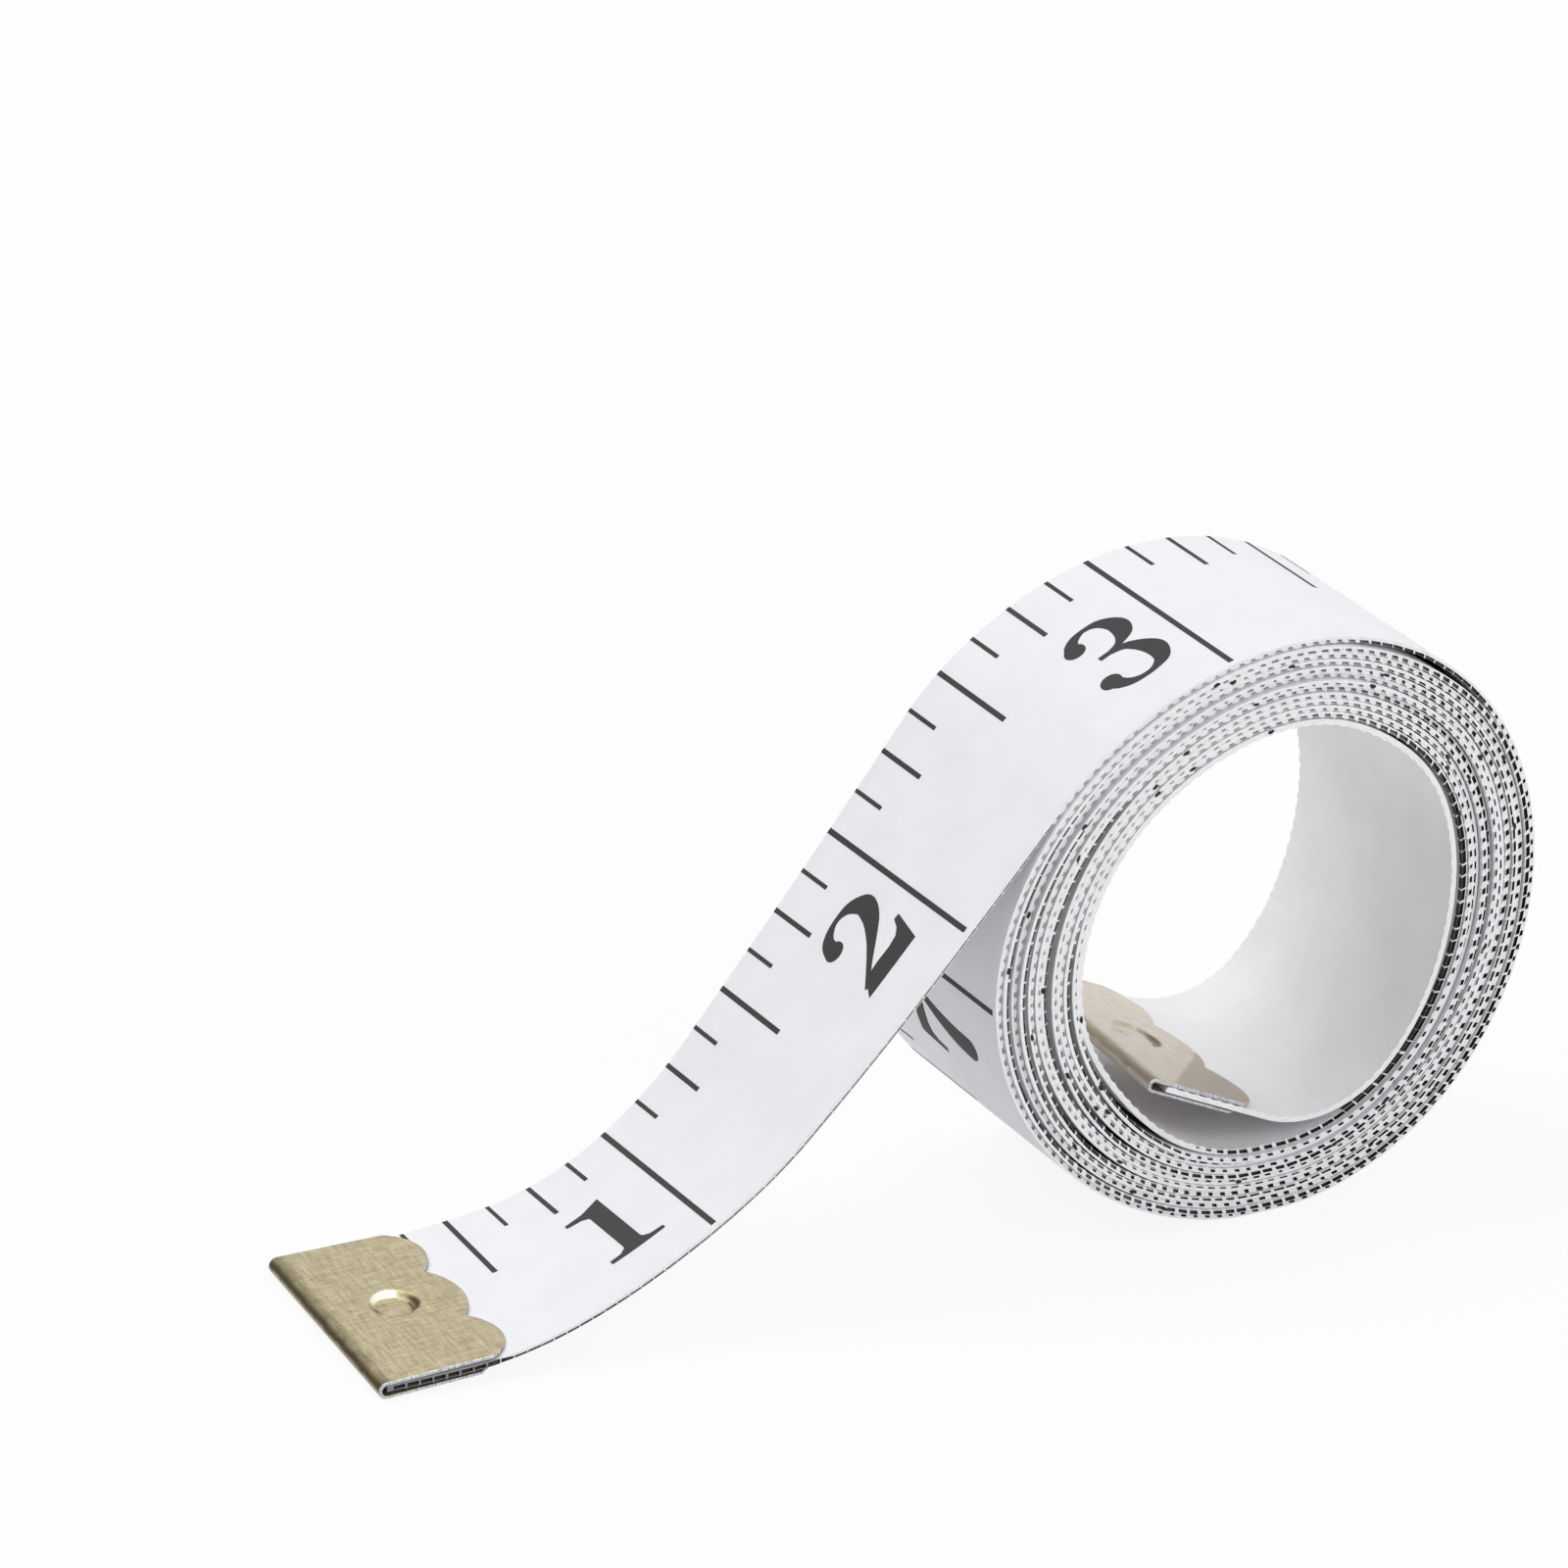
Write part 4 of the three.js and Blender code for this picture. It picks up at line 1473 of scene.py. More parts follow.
class Printing:
    """Builds the printed scale as thin films of ink on the tape."""

    ONLY_INSIDE = 1
    JOIN_GAP = 1.0e-5
    CUT_GAP = 1.0e-6
    SPECK_SIDES = 9

    def __init__(self, path: TapePath, sizes: ScaleSizes, ink: bpy.types.Material) -> None:
        """Keeps what the films share.

        Args:
            path: The way the tape lies.
            sizes: Sizes of the scale.
            ink: Material of the films.
        """
        self.path = path
        self.sizes = sizes
        self.ink = ink

    def _line(self, eighth: int) -> Point2:
        """Picks the size of a division line.

        Args:
            eighth: Its reading in eighths of an inch.

        Returns:
            Its reach and its width.
        """
        z = self.sizes
        if eighth % 8 == 0:
            return z.inch_reach, z.inch_line
        if eighth % 4 == 0:
            return z.half_reach, z.half_line
        if eighth % 2 == 0:
            return z.quarter_reach, z.quarter_line
        return z.eighth_reach, z.eighth_line

    def _along(self, reading: float) -> float:
        """Finds a reading of the scale on the tape, with the slack of the outermost turn.

        Args:
            reading: The reading in millimetres.

        Returns:
            Its distance from the front clip's fold.
        """
        z = self.sizes
        share = (reading - z.slack_from) / (z.slack_to - z.slack_from)
        return reading + z.zero + z.outer_slack * float(ease(np.array(share)))

    def _figures(self, start: float, end: float) -> list[list[list[Point2]]]:
        """Lines and numerals that lie on a stretch, as groups of outlines.

        Args:
            start: Distance of the stretch's first end from the fold.
            end: Distance of its second end from the fold.

        Returns:
            Groups whose outlines are joined into one film each.
        """
        z, far = self.sizes, self.path.sizes.width / 2
        groups = []
        for eighth in range(z.first_eighth, z.last_eighth + 1):
            middle = self._along(eighth * INCH / 8)
            if start < middle < end:
                reach, width = self._line(eighth)
                left, right, foot = middle - width / 2, middle + width / 2, far - reach
                groups.append([[(left, foot), (right, foot), (right, far), (left, far)]])
        for digit in range(1, z.inches + 1):
            middle = self._along(digit * INCH) - z.numeral_before_line
            if start < middle < end:
                aside, up = Numeral.OFF_REGISTER.get(digit, (0.0, 0.0))
                shift = middle + aside - Numeral.middle(digit)
                groups.append([[(x + shift, y + up + z.numeral_foot) for x, y in outline]
                               for outline in Numeral.outlines(digit)])
        return groups

    def _joined(self, outlines: list[list[Point2]]) -> tuple[list[Point2], list[list[int]]]:
        """Joins overlapping outlines into one flat mesh, cut into slices along the tape.

        Args:
            outlines: Closed outlines in the tape's plane.

        Returns:
            Corners and faces.
        """
        corners = [Vector(corner) for outline in outlines for corner in outline]
        loops, first = [], 0
        for outline in outlines:
            loops.append(list(range(first, first + len(outline))))
            first += len(outline)
        flat, _, faces, *_ = delaunay_2d_cdt(corners, [], loops, self.ONLY_INSIDE, self.JOIN_GAP)
        mesh = bmesh.new()
        made = [mesh.verts.new((x, y, 0.0)) for x, y in flat]
        for face in faces:
            mesh.faces.new([made[i] for i in face])
        low, high = min(x for x, _ in flat), max(x for x, _ in flat)
        step = self.sizes.slice
        for i in range(math.ceil(low / step), math.floor(high / step) + 1):
            parts = [*mesh.verts, *mesh.edges, *mesh.faces]
            bmesh.ops.bisect_plane(mesh, geom=parts, dist=self.CUT_GAP,
                                   plane_co=(i * step, 0.0, 0.0), plane_no=(1.0, 0.0, 0.0))
        mesh.verts.index_update()
        result = [tuple(v.co.xy) for v in mesh.verts], [[v.index for v in f.verts] for f in mesh.faces]
        mesh.free()
        return result

    @staticmethod
    def _film(faces: list[list[int]], upper: Array, lower: Array) -> tuple[Array, list[list[int]]]:
        """Closes a flat mesh into a thin film.

        Args:
            faces: The mesh's faces, each turning to the left.
            upper: Where the mesh's corners lie on the film's outer side.
            lower: Where they lie under it.

        Returns:
            All the film's points, and its faces.
        """
        count = len(upper)
        sides = [side for face in faces for side in zip(face, face[1:] + face[:1])]
        uses = Counter(frozenset(side) for side in sides)
        walls = [[b, a, a + count, b + count] for a, b in sides if uses[frozenset((a, b))] == 1]
        under = [[i + count for i in reversed(face)] for face in faces]
        return np.concatenate([upper, lower]), [*faces, *under, *walls]

    def _figure_film(self, outlines: list[list[Point2]]) -> tuple[Array, Array, list]:
        """Lays one group of outlines on the printed face.

        Args:
            outlines: Outlines that are joined into one film.

        Returns:
            The film's points, their places on the tape, and its faces.
        """
        corners, faces = self._joined(outlines)
        flat = np.array(corners)
        stations = self.path.at(flat[:, 0])
        upper = stations.point(flat[:, 1], -self.sizes.film_over)
        lower = stations.point(flat[:, 1], self.sizes.film_under)
        points, closed = self._film(faces, upper, lower)
        places = np.column_stack([np.tile(flat, (2, 1)), np.zeros(2 * len(flat))])
        return points, places, closed

    def _speck_film(self, inch: int) -> tuple[Array, Array, list]:
        """Lays the speck of ink that an inch line leaves on the near cut edge.

        Args:
            inch: Which inch line.

        Returns:
            The speck's points, their places on the tape, and its faces.
        """
        z, half = self.sizes, self.path.sizes.width / 2
        rng = np.random.default_rng(inch)
        count = self.SPECK_SIDES
        angles = np.arange(count) * TURN / count
        reach = rng.uniform(*z.speck_spread, count)
        along = inch * INCH + z.speck_length / 2 * reach * np.cos(angles)
        depth = z.speck_height * (z.speck_middle + reach * np.sin(angles) / 2)
        stations = self.path.at(along)
        outer = stations.point(-half - z.film_over, depth)
        inner = stations.point(-half + z.film_under, depth)
        points, closed = self._film([list(reversed(range(count)))], outer, inner)
        places = np.column_stack([np.tile(along, 2), np.full(2 * count, -half), np.tile(depth, 2)])
        return points, places, closed

    def build(self, stretch: Stretch) -> bpy.types.Object | None:
        """Builds the ink on one stretch.

        Args:
            stretch: The stretch that carries the ink.

        Returns:
            The ink as one mesh, or None where the stretch has no printing.
        """
        films = [self._figure_film(group) for group in self._figures(stretch.start, stretch.end)]
        for inch in range(self.sizes.first_speck, self.sizes.last_speck + 1):
            if stretch.start < inch * INCH < stretch.end:
                films.append(self._speck_film(inch))
        if not films:
            return None
        points, places, faces, first = [], [], [], 0
        for film_points, film_places, film_faces in films:
            points.append(film_points)
            places.append(film_places)
            faces += [[i + first for i in face] for face in film_faces]
            first += len(film_points)
        ink = make_piece("print_" + stretch.name, np.concatenate(points), faces, (self.ink,))
        give_points(ink, "strip", np.concatenate(places))
        return ink


@dataclass(frozen=True)
class WallLook:
    """Look of a press mark's walls and of the line round it: painted shade above 0 and painted highlight
    below.
    """

    lobe: float = 1.2
    fold: float = 0.5
    near: float = 0.6
    far: float = -1.2
    far_from: float = 0.6
    far_fade: float = 0.5
    outline: float = 0.95
    outline_at: float = 0.07
    outline_reach: float = 0.16
    outline_from: float = 0.6
    outline_fade: float = 0.4


@dataclass(frozen=True)
class ClipSizes:
    """Sizes of a folded clip, in millimetres."""

    width: float = 20.0
    height: float = 1.18
    sheet: float = 0.22
    lobed_length: float = 9.75
    plain_length: float = 8.6
    notch_half: float = 3.7
    notch: float = 1.25
    shoulder: float = 1.8
    corner: float = 1.4
    burr: float = 0.07
    lock_from_fold: float = 5.0
    lock_half_length: float = 1.13
    lock_half_width: float = 1.6
    lock_depth: float = 0.36
    lock_lobe_wall: float = 0.8
    lock_far_wall: float = 0.65
    lock_fold_wall: float = 0.55
    lock_near_wall: float = 0.14
    walls: WallLook = WallLook()


@dataclass(frozen=True)
class Seat:
    """Where a clip sits: its fold, the way to its lobes and the way its lobed sheet faces."""

    fold: Vector
    to_lobes: Vector
    facing: Vector

    def matrix(self) -> Matrix:
        """Works out how places on the clip become places on the whole object.

        Returns:
            The turn and the shift, in millimetres.
        """
        across = self.facing.cross(self.to_lobes).normalized()
        up = self.to_lobes.cross(across)
        turned = Matrix((self.to_lobes, across, up)).transposed().to_4x4()
        return Matrix.Translation(self.fold) @ turned


class ClipSlot(IntEnum):
    """Places of the materials on a clip."""

    SHEET = 0
    SHEARED = 1


class Clip:
    """One folded clip: a plain sheet, the fold, and a lobed sheet with a press mark."""

    FINE, COARSE = 0.1, 0.3
    FINE_ACROSS = (-2.8, 2.8)
    FINE_ALONG = (3.2, 6.9)
    LEAST_GAP = 0.04
    PLAIN_ROWS, FOLD_STEPS, LOBE_STEPS = 20, 18, 9
    STRAIGHT_TO = 7.0
    INSIDE_OLIVE = 0.3
    TINY = 1.0e-9

    def __init__(self, sizes: ClipSizes, rises: Point2, sheet: bpy.types.Material,
                 sheared: bpy.types.Material) -> None:
        """Keeps what sets one clip apart from the other.

        Args:
            sizes: Its sizes.
            rises: How far its near and far lobes tip up.
            sheet: Material of its sheet.
            sheared: Material of its cut rim.
        """
        self.sizes = sizes
        self.rises = rises
        self.materials = (sheet, sheared)

    def _lines(self, start: float, end: float, fine: Point2) -> list[float]:
        """Places grid lines that are closer together in one range.

        Args:
            start: First line.
            end: Last line.
            fine: Range with the fine spacing.

        Returns:
            Places of the lines.
        """
        low, high = fine
        parts = ((start, low, self.COARSE), (low, high, self.FINE), (high, end, self.COARSE))
        lines = [start]
        for a, b, step in parts:
            count = max(1, math.ceil((b - a) / step))
            lines += [a + (b - a) * (i + 1) / count for i in range(count)]
        return lines

    def _across_lines(self) -> Array:
        """Places the grid lines across the clip, with the notches and the sheared rim among them.

        Returns:
            Distances from the clip's middle, in rising order.
        """
        z = self.sizes
        half = z.width / 2
        lines = self._lines(-half + z.burr, half - z.burr, self.FINE_ACROSS)
        marked = [-z.notch_half, z.notch_half, -half + z.corner, half - z.corner]
        kept = [y for y in lines if min(abs(y - line) for line in marked) > self.LEAST_GAP]
        return np.array(sorted([*kept, *marked, -half, half]))

    def _lobe_end(self, y: Array) -> Array:
        """Finds the end of the lobed sheet.

        Args:
            y: Distances across the clip.

        Returns:
            Distances from the fold.
        """
        z = self.sizes
        outer_half = (z.width / 2 - z.notch_half) / 2
        offset = np.abs(y) - z.notch_half - outer_half
        middle = np.abs(y) <= z.notch_half
        half = np.where(middle, z.notch_half, outer_half)
        offset = np.where(middle, np.abs(y), offset)
        depth = np.where(~middle & (offset > 0), z.shoulder, z.notch)
        radius = (half**2 + depth**2) / (2 * depth)
        return z.lobed_length - radius + np.sqrt(radius**2 - offset**2)

    def _plain_end(self, y: Array) -> Array:
        """Where the plain sheet ends, across the clip."""
        z = self.sizes
        return z.plain_length - np.maximum(0.0, np.abs(y) - (z.width / 2 - z.corner))

    def _pressed(self, x: Array | float, y: Array) -> tuple[Array, Array]:
        """Works out the press mark: an oval floor with a wall of its own slope on each side.

        Args:
            x: Distances from the fold.
            y: Distances across the clip.

        Returns:
            Depths of the mark, and its walls' look: painted shade above 0 and painted highlight below.
        """
        z, walls = self.sizes, self.sizes.walls
        u, v = x - z.lock_from_fold, y
        reach = np.hypot(u, v) + self.TINY
        c, s = u / reach, v / reach
        floor = 1.0 / np.maximum(np.hypot(c / z.lock_half_length, s / z.lock_half_width), self.TINY)
        lengthwise = np.where(c > 0, z.lock_lobe_wall, z.lock_fold_wall)
        crosswise = np.where(s > 0, z.lock_far_wall, z.lock_near_wall)
        share = ease(1.0 - (reach - floor) / (lengthwise * c**2 + crosswise * s**2))
        # The far wall is painted bright, and the other walls and a line round the floor are painted dark:
        # painted highlight and painted shade of the press mark.
        painted_highlight = walls.far * ease((walls.far_from - c) / walls.far_fade)
        sides = np.where(c > 0, walls.lobe, walls.fold) * c**2
        sides = sides + np.where(s < 0, walls.near, painted_highlight) * s**2
        outline = walls.outline * hump(reach - floor - walls.outline_at, walls.outline_reach)
        outline = outline * ease((walls.outline_from - s) / walls.outline_fade)
        look = 4.0 * share * (1.0 - share) * sides
        look = np.where(look < 0, look, np.maximum(look, outline))
        return z.lock_depth * share, np.clip(look, -1.0, 1.0)

    def _rise(self, x: Array, y: Array) -> Array:
        """Works out how far the clip tips up.

        Args:
            x: Distances from the fold.
            y: Distances across the clip.

        Returns:
            Heights above the untipped clip.
        """
        near, far = self.rises
        share = y / self.sizes.width + 0.5
        return (near + (far - near) * share) * x / self.sizes.lobed_length

    def _rows(self, y: Array) -> list[tuple[Array | float, ...]]:
        """Lists the rows of the sheet from the plain end, round the fold, to the lobes.

        Args:
            y: Grid lines across the clip.

        Returns:
            For each row the outer x and z, the inner x and z, the distance from the fold, and the walls'
            painted shade and highlight.
        """
        z, straight_to = self.sizes, self.STRAIGHT_TO
        radius, quarter = z.height / 2, math.pi / 2
        inner = radius - z.sheet
        rows = []
        for share in np.linspace(1.0, 0.0, self.PLAIN_ROWS):
            x = radius + (self._plain_end(y) - radius) * share
            rows.append((x, 0.0, x, z.sheet, radius * (1 - quarter) - x, 0.0))
        for i in range(1, self.FOLD_STEPS):
            turned = math.pi * i / self.FOLD_STEPS
            c, s = math.cos(-quarter - turned), math.sin(-quarter - turned)
            rows.append((radius + radius * c, radius + radius * s, radius + inner * c, radius + inner * s,
                         radius * (turned - quarter), 0.0))
        lobes = self._lobe_end(y)
        ends = self._lines(radius, straight_to, self.FINE_ALONG)
        for share in np.linspace(0.0, 1.0, self.LOBE_STEPS + 1)[1:]:
            ends.append(straight_to + (lobes - z.burr - straight_to) * share)
        for x in (*ends, lobes):
            sunk, painted_look = self._pressed(x, y)
            turned = x + radius * (quarter - 1)
            rows.append((x, z.height - sunk, x, z.height - z.sheet - sunk, turned, painted_look))
        return rows

    @staticmethod
    def _skin(grid: Array) -> tuple[list[tuple[int, ...]], list[ClipSlot]]:
        """Joins the sheet's outer side, its inner side and the cut rim between them.

        Args:
            grid: Numbers of the outer points, by rows; the inner ones follow in the same order.

        Returns:
            Faces, and the material slot of each.
        """
        size, (tall, wide) = grid.size, grid.shape
        faces, slots = [], []
        for r in range(tall - 1):
            for k in range(wide - 1):
                a = r * wide + k
                b, c, d = a + 1, a + wide + 1, a + wide
                faces += [(a, b, c, d), (a + size, d + size, c + size, b + size)]
                at_rim = k in (0, wide - 2) or r in (0, tall - 2)
                slots += [ClipSlot.SHEARED if at_rim else ClipSlot.SHEET, ClipSlot.SHEET]
        for rim in (grid[0, ::-1], grid[-1], grid[:, 0], grid[::-1, -1]):
            for a, b in pairwise(rim.tolist()):
                faces.append((a, b, b + size, a + size))
                slots.append(ClipSlot.SHEARED)
        return faces, slots

    def build(self, name: str, seat: Seat) -> bpy.types.Object:
        """Builds the clip in its place.

        Args:
            name: Name of the piece.
            seat: Where the clip sits.

        Returns:
            The clip as one closed mesh.
        """
        y = self._across_lines()
        rows = self._rows(y)
        grid = np.arange(len(rows) * len(y)).reshape(len(rows), len(y))
        burr = np.zeros(grid.shape)
        burr[0, :] = burr[-1, :] = burr[:, 0] = burr[:, -1] = self.sizes.burr
        outer, inner, places = [], [], []
        for shift, row in zip(burr, rows):
            ox, oz, ix, iz, from_fold, painted_look = (np.broadcast_to(value, y.shape) for value in row)
            oz, iz = oz + self._rise(ox, y), iz + self._rise(ix, y)
            towards = np.stack([ix - ox, iz - oz], 1) / self.sizes.sheet
            outer.append(np.column_stack([ox + towards[:, 0] * shift, y, oz + towards[:, 1] * shift]))
            inner.append(np.column_stack([ix, y, iz]))
            places.append(np.column_stack([from_fold, y, painted_look]))
        place = np.array(seat.matrix())
        points = np.concatenate([*outer, *inner]) @ place[:3, :3].T + place[:3, 3]
        faces, slots = self._skin(grid)
        clip = make_piece(name, points, faces, self.materials, slots)
        shown = np.concatenate(places)
        # The sheet's inner side gets a fixed share of the olive mix all over.
        hidden = shown * (1.0, 1.0, 0.0) + (0.0, 0.0, self.INSIDE_OLIVE)
        give_points(clip, "sheet", np.concatenate([shown, hidden]))
        return clip


class TapeMeasure:
    """The whole tape measure: the stretches of tape with their printing, and the two clips."""

    FOLD_AHEAD = 0.25
    SEAM_TIP = 23.75
    SEAM_MIDDLE = 42.75
    SEAM_TOP = 68.4
    LIFT_MARGIN = 5.0
    TIP_BEND = (19.3, 10.4)
    MIDDLE_BEND = (7.5, -7.5)
    TOP_BEND = (0.5, -12.0)
    INNER_BEND = (0.0, 5.4)
    INNER_SHORT = 1.5
    INNER_HEIGHT = 1.0
    FRONT_RISES = (0.64, 0.2)
    INNER_RISES = (0.0, 0.0)

    def __init__(self) -> None:
        """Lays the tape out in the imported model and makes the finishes."""
        self.clip_sizes = ClipSizes()
        low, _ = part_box("front_clip")
        corner = self.clip_sizes.width / 2 * math.sin(TapeSizes.tail_yaw)
        self.path = TapePath(TapeSizes(), low.x / MM + corner - self.FOLD_AHEAD)
        self.finishes = TapeFinishes(
            face=CoatFinish("printed_coat", linear(245, 246, 249), linear(241, 242, 246)).material(),
            back=CoatFinish("back_coat", linear(243, 243, 245), linear(238, 238, 241),
                            gloss=0.58).material(),
            edge=CutFinish("cut_edge", linear(244, 244, 246), linear(226, 226, 229)).material(),
            core=CoreFinish("woven_core", linear(10, 10, 11), linear(176, 176, 178),
                            linear(150, 150, 152)).material(),
            web=CutFinish("edge_web", linear(238, 239, 242), linear(216, 217, 221)).material(),
            ink=InkFinish("printing_ink", linear(25, 25, 28), linear(74, 74, 77)).material(),
        )
        sheared = CutFinish(
            "sheared_metal", linear(204, 204, 210), linear(128, 128, 134), stored_as="sheet",
            grain=(6.0, 6.0, 1.0), dull_below=0.35, pale_above=0.6, roughness=(0.35, 0.6), depth=0.015,
            metal=0.85,
        ).material()
        front = BrassFinish(
            "front_brass", linear(200, 189, 158), linear(140, 128, 94), linear(60, 52, 17),
            linear(255, 248, 222),
        )
        inner = BrassFinish(
            "inner_brass", linear(228, 219, 209), linear(186, 175, 162), linear(110, 99, 68),
            linear(204, 194, 174), roughness=0.5, fold_share=0.75, near_shade=0.4,
        )
        small = ClipSizes(height=self.INNER_HEIGHT, lock_depth=0.24, lock_fold_wall=1.1, lock_near_wall=0.5)
        self.front = Clip(self.clip_sizes, self.FRONT_RISES, front.material(), sheared)
        self.inner = Clip(small, self.INNER_RISES, inner.material(), sheared)

    def _stretches(self) -> list[Stretch]:
        """Lists the stretches from the zero end to the inner end.

        Returns:
            Stretches that meet end to end.
        """
        path, tip, middle, top = self.path, self.SEAM_TIP, self.SEAM_MIDDLE, self.SEAM_TOP
        tongue = self.clip_sizes.height / 2
        leave, lift = path.leave_at, path.lift_at
        wound_end, inner_stop = lift - self.LIFT_MARGIN, path.end_at - self.INNER_SHORT
        middle_bend, top_bend, inner_bend = (
            (at + bend[0], at + bend[1])
            for at, bend in ((leave - path.bend_start, self.MIDDLE_BEND), (leave, self.TOP_BEND),
                             (lift, self.INNER_BEND))
        )
        return [
            Stretch("tail_tip", tongue, tip, "tail_lower", ("tail_end",), Held.LAID,
                    "tail_end", self.TIP_BEND),
            Stretch("tail_middle", tip, middle, "tail_upper", ("tail_lower",), Held.DRAPED,
                    "tail_lower", middle_bend),
            Stretch("tail_top", middle, top, "roll", ("tail_upper",), Held.DRAPED,
                    "tail_upper", top_bend),
            Stretch("winding", top, wound_end, "roll", ("tape_winding",), Held.FOLDED),
            Stretch("inner_run", wound_end, inner_stop, "roll", ("inner_end",), Held.FOLDED,
                    "inner_end", inner_bend),
        ]

    def _dress(self, piece: bpy.types.Object, stretch: Stretch) -> None:
        """Hangs a piece on its stretch's body, or, where the stretch bends, only bakes the piece's place
        into its mesh.

        Args:
            piece: The tape or its ink.
            stretch: The stretch that it is on.
        """
        if stretch.bends_to is None:
            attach(piece, stretch.body)
            return
        start, end = (Vector(point) * MM for point in self.path.at(np.array(stretch.bend)).face)
        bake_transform(piece)

    def build_tape(self) -> None:
        """Builds the stretches of tape with their printing."""
        strip = TapeStrip(self.path, EdgeWeave(), self.finishes)
        printing = Printing(self.path, ScaleSizes(), self.finishes.ink)
        for stretch in self._stretches():
            tape = strip.build(stretch)
            ink = printing.build(stretch)
            self._dress(tape, stretch)
            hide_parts(*stretch.nodes)
            if ink is not None:
                self._dress(ink, stretch)
            log.info("%s: %.1f mm of tape", stretch.name, stretch.end - stretch.start)

    def build_clips(self) -> None:
        """Builds the two clips on the tape's ends."""
        front = self.path.at(np.array([0.0]))
        heading = Vector(np.cross(front.across[0], front.normal[0]))
        level = Vector((heading.x, heading.y, 0.0)).normalized()
        fold = Vector((front.face[0][0], front.face[0][1], 0.0))
        flat = Seat(fold, level, Vector((0.0, 0.0, 1.0)))
        self._place("front_fold_clip", self.front, flat, "tail_end", "front_clip")
        end = self.path.at(np.array([self.path.end_at]))
        back = Vector(-end.normal[0])
        away = Vector(np.cross(end.normal[0], end.across[0]))
        middle = Vector(end.face[0]) + back * (self.path.sizes.thickness - self.INNER_HEIGHT) / 2
        self._place("inner_fold_clip", self.inner, Seat(middle, away, back), "inner_end", "inner_clip")

    def _place(self, name: str, clip: Clip, seat: Seat, body: str, node: str) -> None:
        """Builds one clip and hangs it on its body.

        Args:
            name: Name of the piece.
            clip: The clip to build.
            seat: Where it sits.
            body: Body that carries it.
            node: Node that it stands for.
        """
        piece = clip.build(name, seat)
        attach(piece, body)
        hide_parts(node)
        log.info("%s: %d faces", name, len(piece.data.polygons))


@dataclass(frozen=True)
class CameraPlace:
    """The photograph's camera, in millimetres and in pixels of its square frame."""

    frame_pixels: float = 1600.0
    focal_pixels: float = 9409.3
    sensor: float = 36.0
    target: tuple[float, float, float] = (-31.22, 0.0, 33.63)
    azimuth: float = math.radians(-27.536)
    elevation: float = math.radians(23.373)
    roll: float = math.radians(0.1)
    distance: float = 600.0
    nearest: float = 50.0
    farthest: float = 50000.0

    def build(self) -> None:
        """Makes the camera and gives it to the scene."""
        data = bpy.data.cameras.new("photo_camera")
        data.sensor_width = self.sensor
        data.lens = self.focal_pixels * self.sensor / self.frame_pixels
        data.clip_start = self.nearest * MM
        data.clip_end = self.farthest * MM
        a, e = self.azimuth, self.elevation
        back = Vector((math.sin(a) * math.cos(e), -math.cos(a) * math.cos(e), math.sin(e)))
        right = Vector((math.cos(a), math.sin(a), 0.0))
        up = back.cross(right)
        turned = Matrix((right, up, back)).transposed() @ Matrix.Rotation(self.roll, 3, "Z")
        camera = bpy.data.objects.new("photo_camera", data)
        eye = (Vector(self.target) + back * self.distance) * MM
        camera.matrix_world = Matrix.Translation(eye) @ turned.to_4x4()
        bpy.context.scene.collection.objects.link(camera)
        bpy.context.scene.camera = camera


@dataclass(frozen=True)
class Softbox:
    """A square studio lamp, in metres and watts."""

    name: str
    place: tuple[float, float, float]
    size: float
    power: float

    def build(self, target: Vector) -> None:
        """Makes the lamp and turns it to what it lights.

        Args:
            target: Middle of what it lights, in metres.
        """
        data = bpy.data.lights.new(self.name, "AREA")
        data.shape, data.size, data.energy = "SQUARE", self.size, self.power
        lamp = bpy.data.objects.new(self.name, data)
        lamp.location = self.place
        lamp.rotation_euler = (target - lamp.location).to_track_quat("-Z", "Y").to_euler()
        bpy.context.scene.collection.objects.link(lamp)


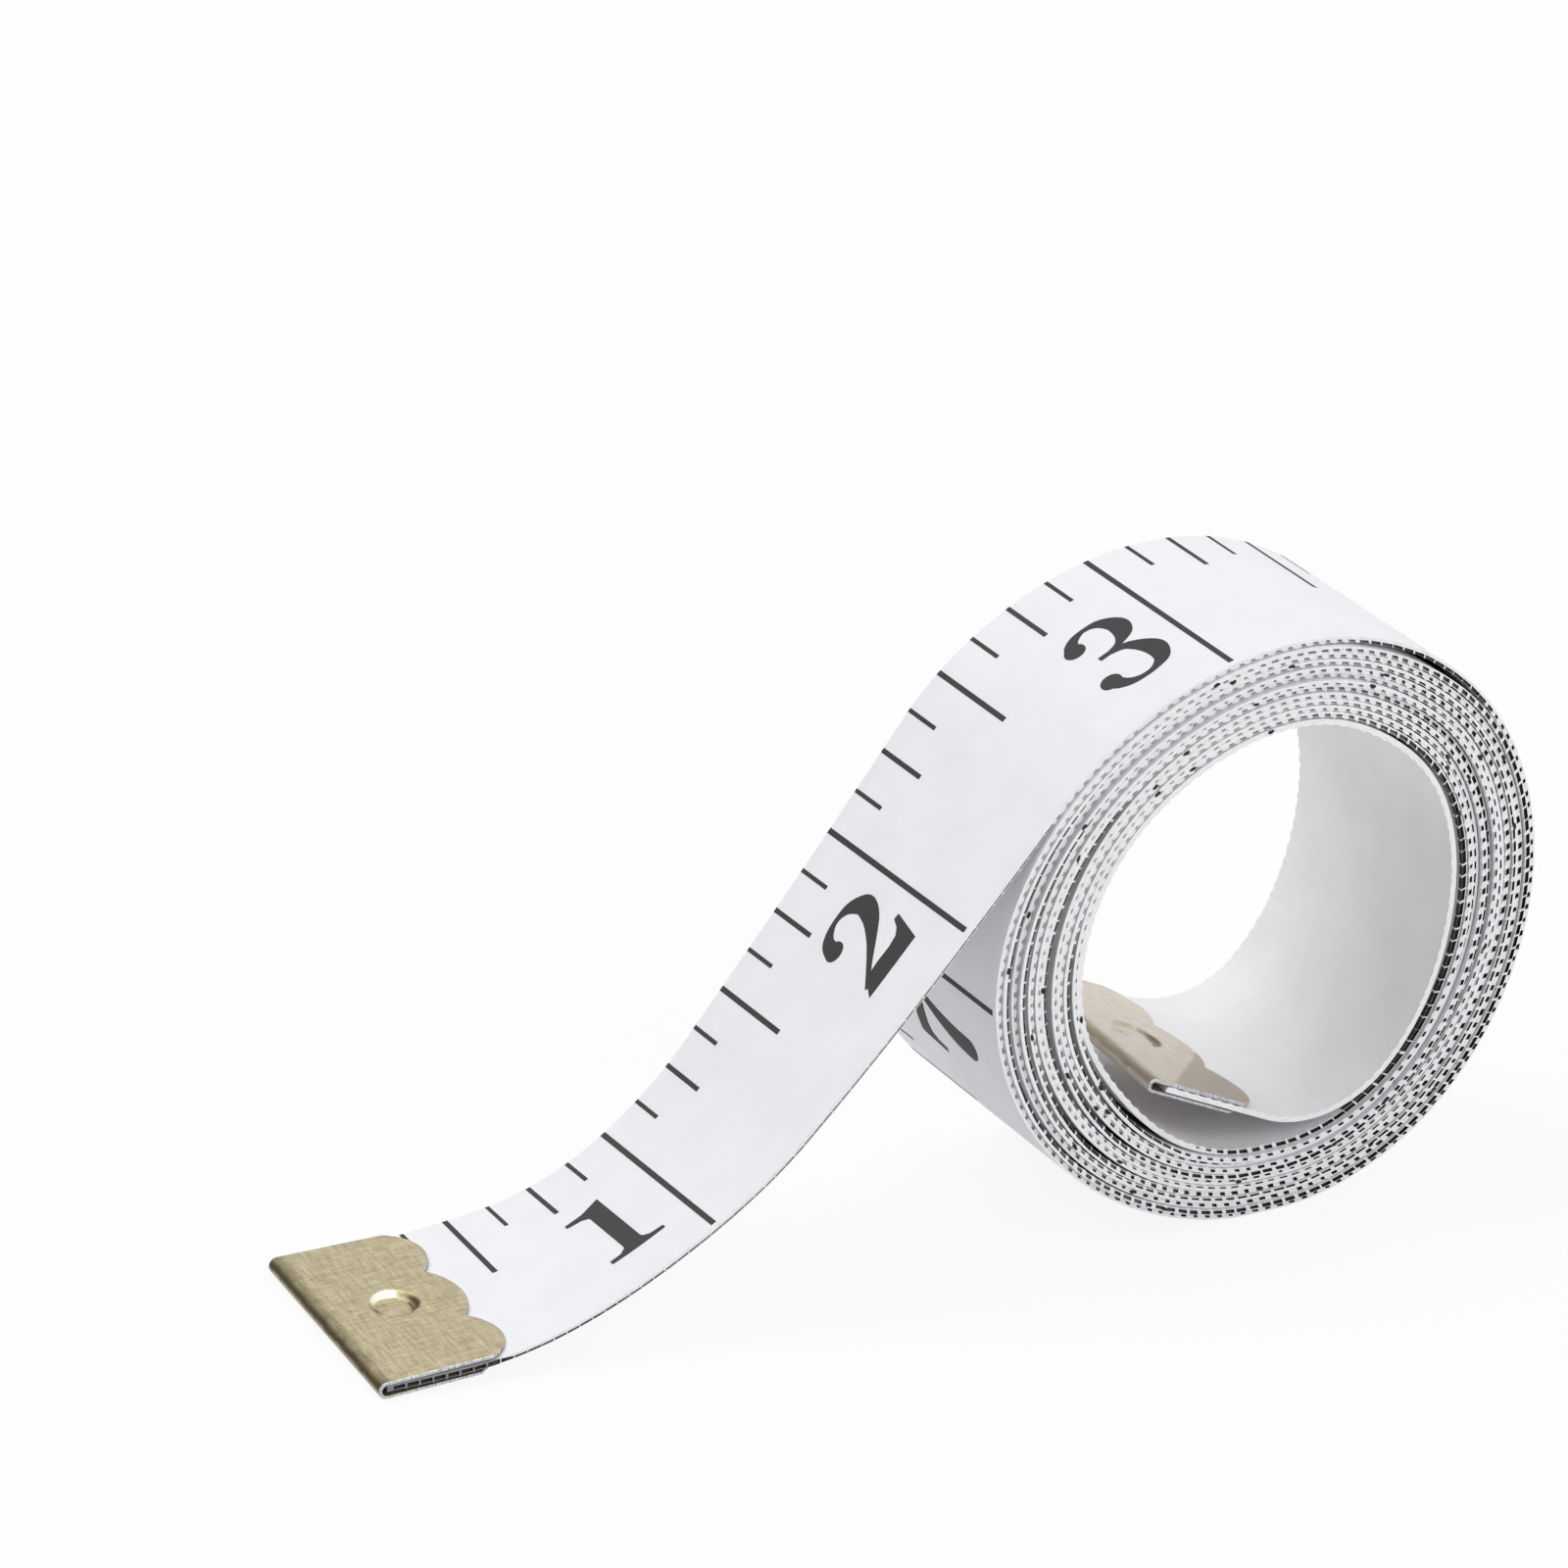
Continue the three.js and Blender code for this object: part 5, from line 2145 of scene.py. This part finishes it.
class Studio:
    """Pale floor, soft lamps, and a surround that gives more light from behind."""

    FLOOR_HALF = 3.0
    FLOOR_COLOUR = (0.94, 0.94, 0.94)
    FLOOR_ROUGHNESS = 0.9
    WHITE_SHARE = 0.88
    WHITE = (1.0, 1.0, 1.0, 1.0)
    SURROUND = 0.15
    BEHIND = 0.62
    BEHIND_FROM = -0.2
    LAMPS = (
        Softbox("top_softbox", (-0.3, 0.3, 0.86), 1.0, 6.3),
        Softbox("front_softbox", (0.45, -1.05, 0.6), 1.3, 10.2),
    )

    def _seen_directly(self, nodes: Nodes) -> bpy.types.NodeSocket:
        """Adds nodes that tell what is seen directly, in gloss or through glass.

        Args:
            nodes: The node tree.

        Returns:
            A value that is 1 for such rays.
        """
        rays = nodes.add("ShaderNodeLightPath").outputs
        seen = nodes.sum("MAXIMUM", rays["Is Camera Ray"], rays["Is Glossy Ray"])
        return nodes.sum("MAXIMUM", seen, rays["Is Transmission Ray"])

    def build_floor(self) -> None:
        """Makes the floor, part plain white and part lit, so that it keeps the shadow."""
        square = ((-1.0, -1.0, 0.0), (1.0, -1.0, 0.0), (1.0, 1.0, 0.0), (-1.0, 1.0, 0.0))
        draft = Draft("floor_paper")
        draft.set(base_color=self.FLOOR_COLOUR, roughness=self.FLOOR_ROUGHNESS, specular_ior_level=0.0)
        share = draft.sum("MULTIPLY", self._seen_directly(draft), self.WHITE_SHARE)
        glow = draft.add("ShaderNodeEmission")
        paper = draft.add("ShaderNodeMixShader", share, draft.shader.outputs[0], glow.outputs[0])
        draft.fill(draft.tree.nodes["Material Output"].inputs["Surface"], paper.outputs[0])
        corners = np.array(square) * self.FLOOR_HALF / MM
        make_piece("floor", corners, [(0, 1, 2, 3)], (draft.material,))

    def build_surround(self) -> None:
        """Makes the world: white where it is seen, and elsewhere a low light that is brighter behind."""
        world = bpy.data.worlds.new("surround")
        world.use_nodes = True
        nodes = Nodes(world.node_tree)
        background = nodes.tree.nodes["Background"].inputs
        nodes.fill(background["Color"], self.WHITE)
        depth = nodes.split(nodes.add("ShaderNodeTexCoord").outputs["Generated"])["Y"]
        light = nodes.range(depth, self.BEHIND_FROM, 1.0, self.SURROUND, self.BEHIND)
        level = nodes.range(self._seen_directly(nodes), 0.0, 1.0, light, 1.0)
        nodes.fill(background["Strength"], level)
        bpy.context.scene.world = world

    def build(self, target: Vector) -> None:
        """Makes the whole studio round what it lights.

        Args:
            target: Middle of what it lights, in metres.
        """
        self.build_floor()
        self.build_surround()
        for lamp in self.LAMPS:
            lamp.build(target)
        bpy.context.scene.view_settings.view_transform = "Standard"


def main() -> None:
    """Builds the tape measure and its studio."""
    logging.basicConfig(level=logging.INFO, format="%(name)s: %(message)s")
    low, high = CAD_BOX
    CameraPlace().build()
    tape_measure = TapeMeasure()
    tape_measure.build_tape()
    tape_measure.build_clips()
    Studio().build((low + high) / 2)


if __name__ == "__main__":
    main()
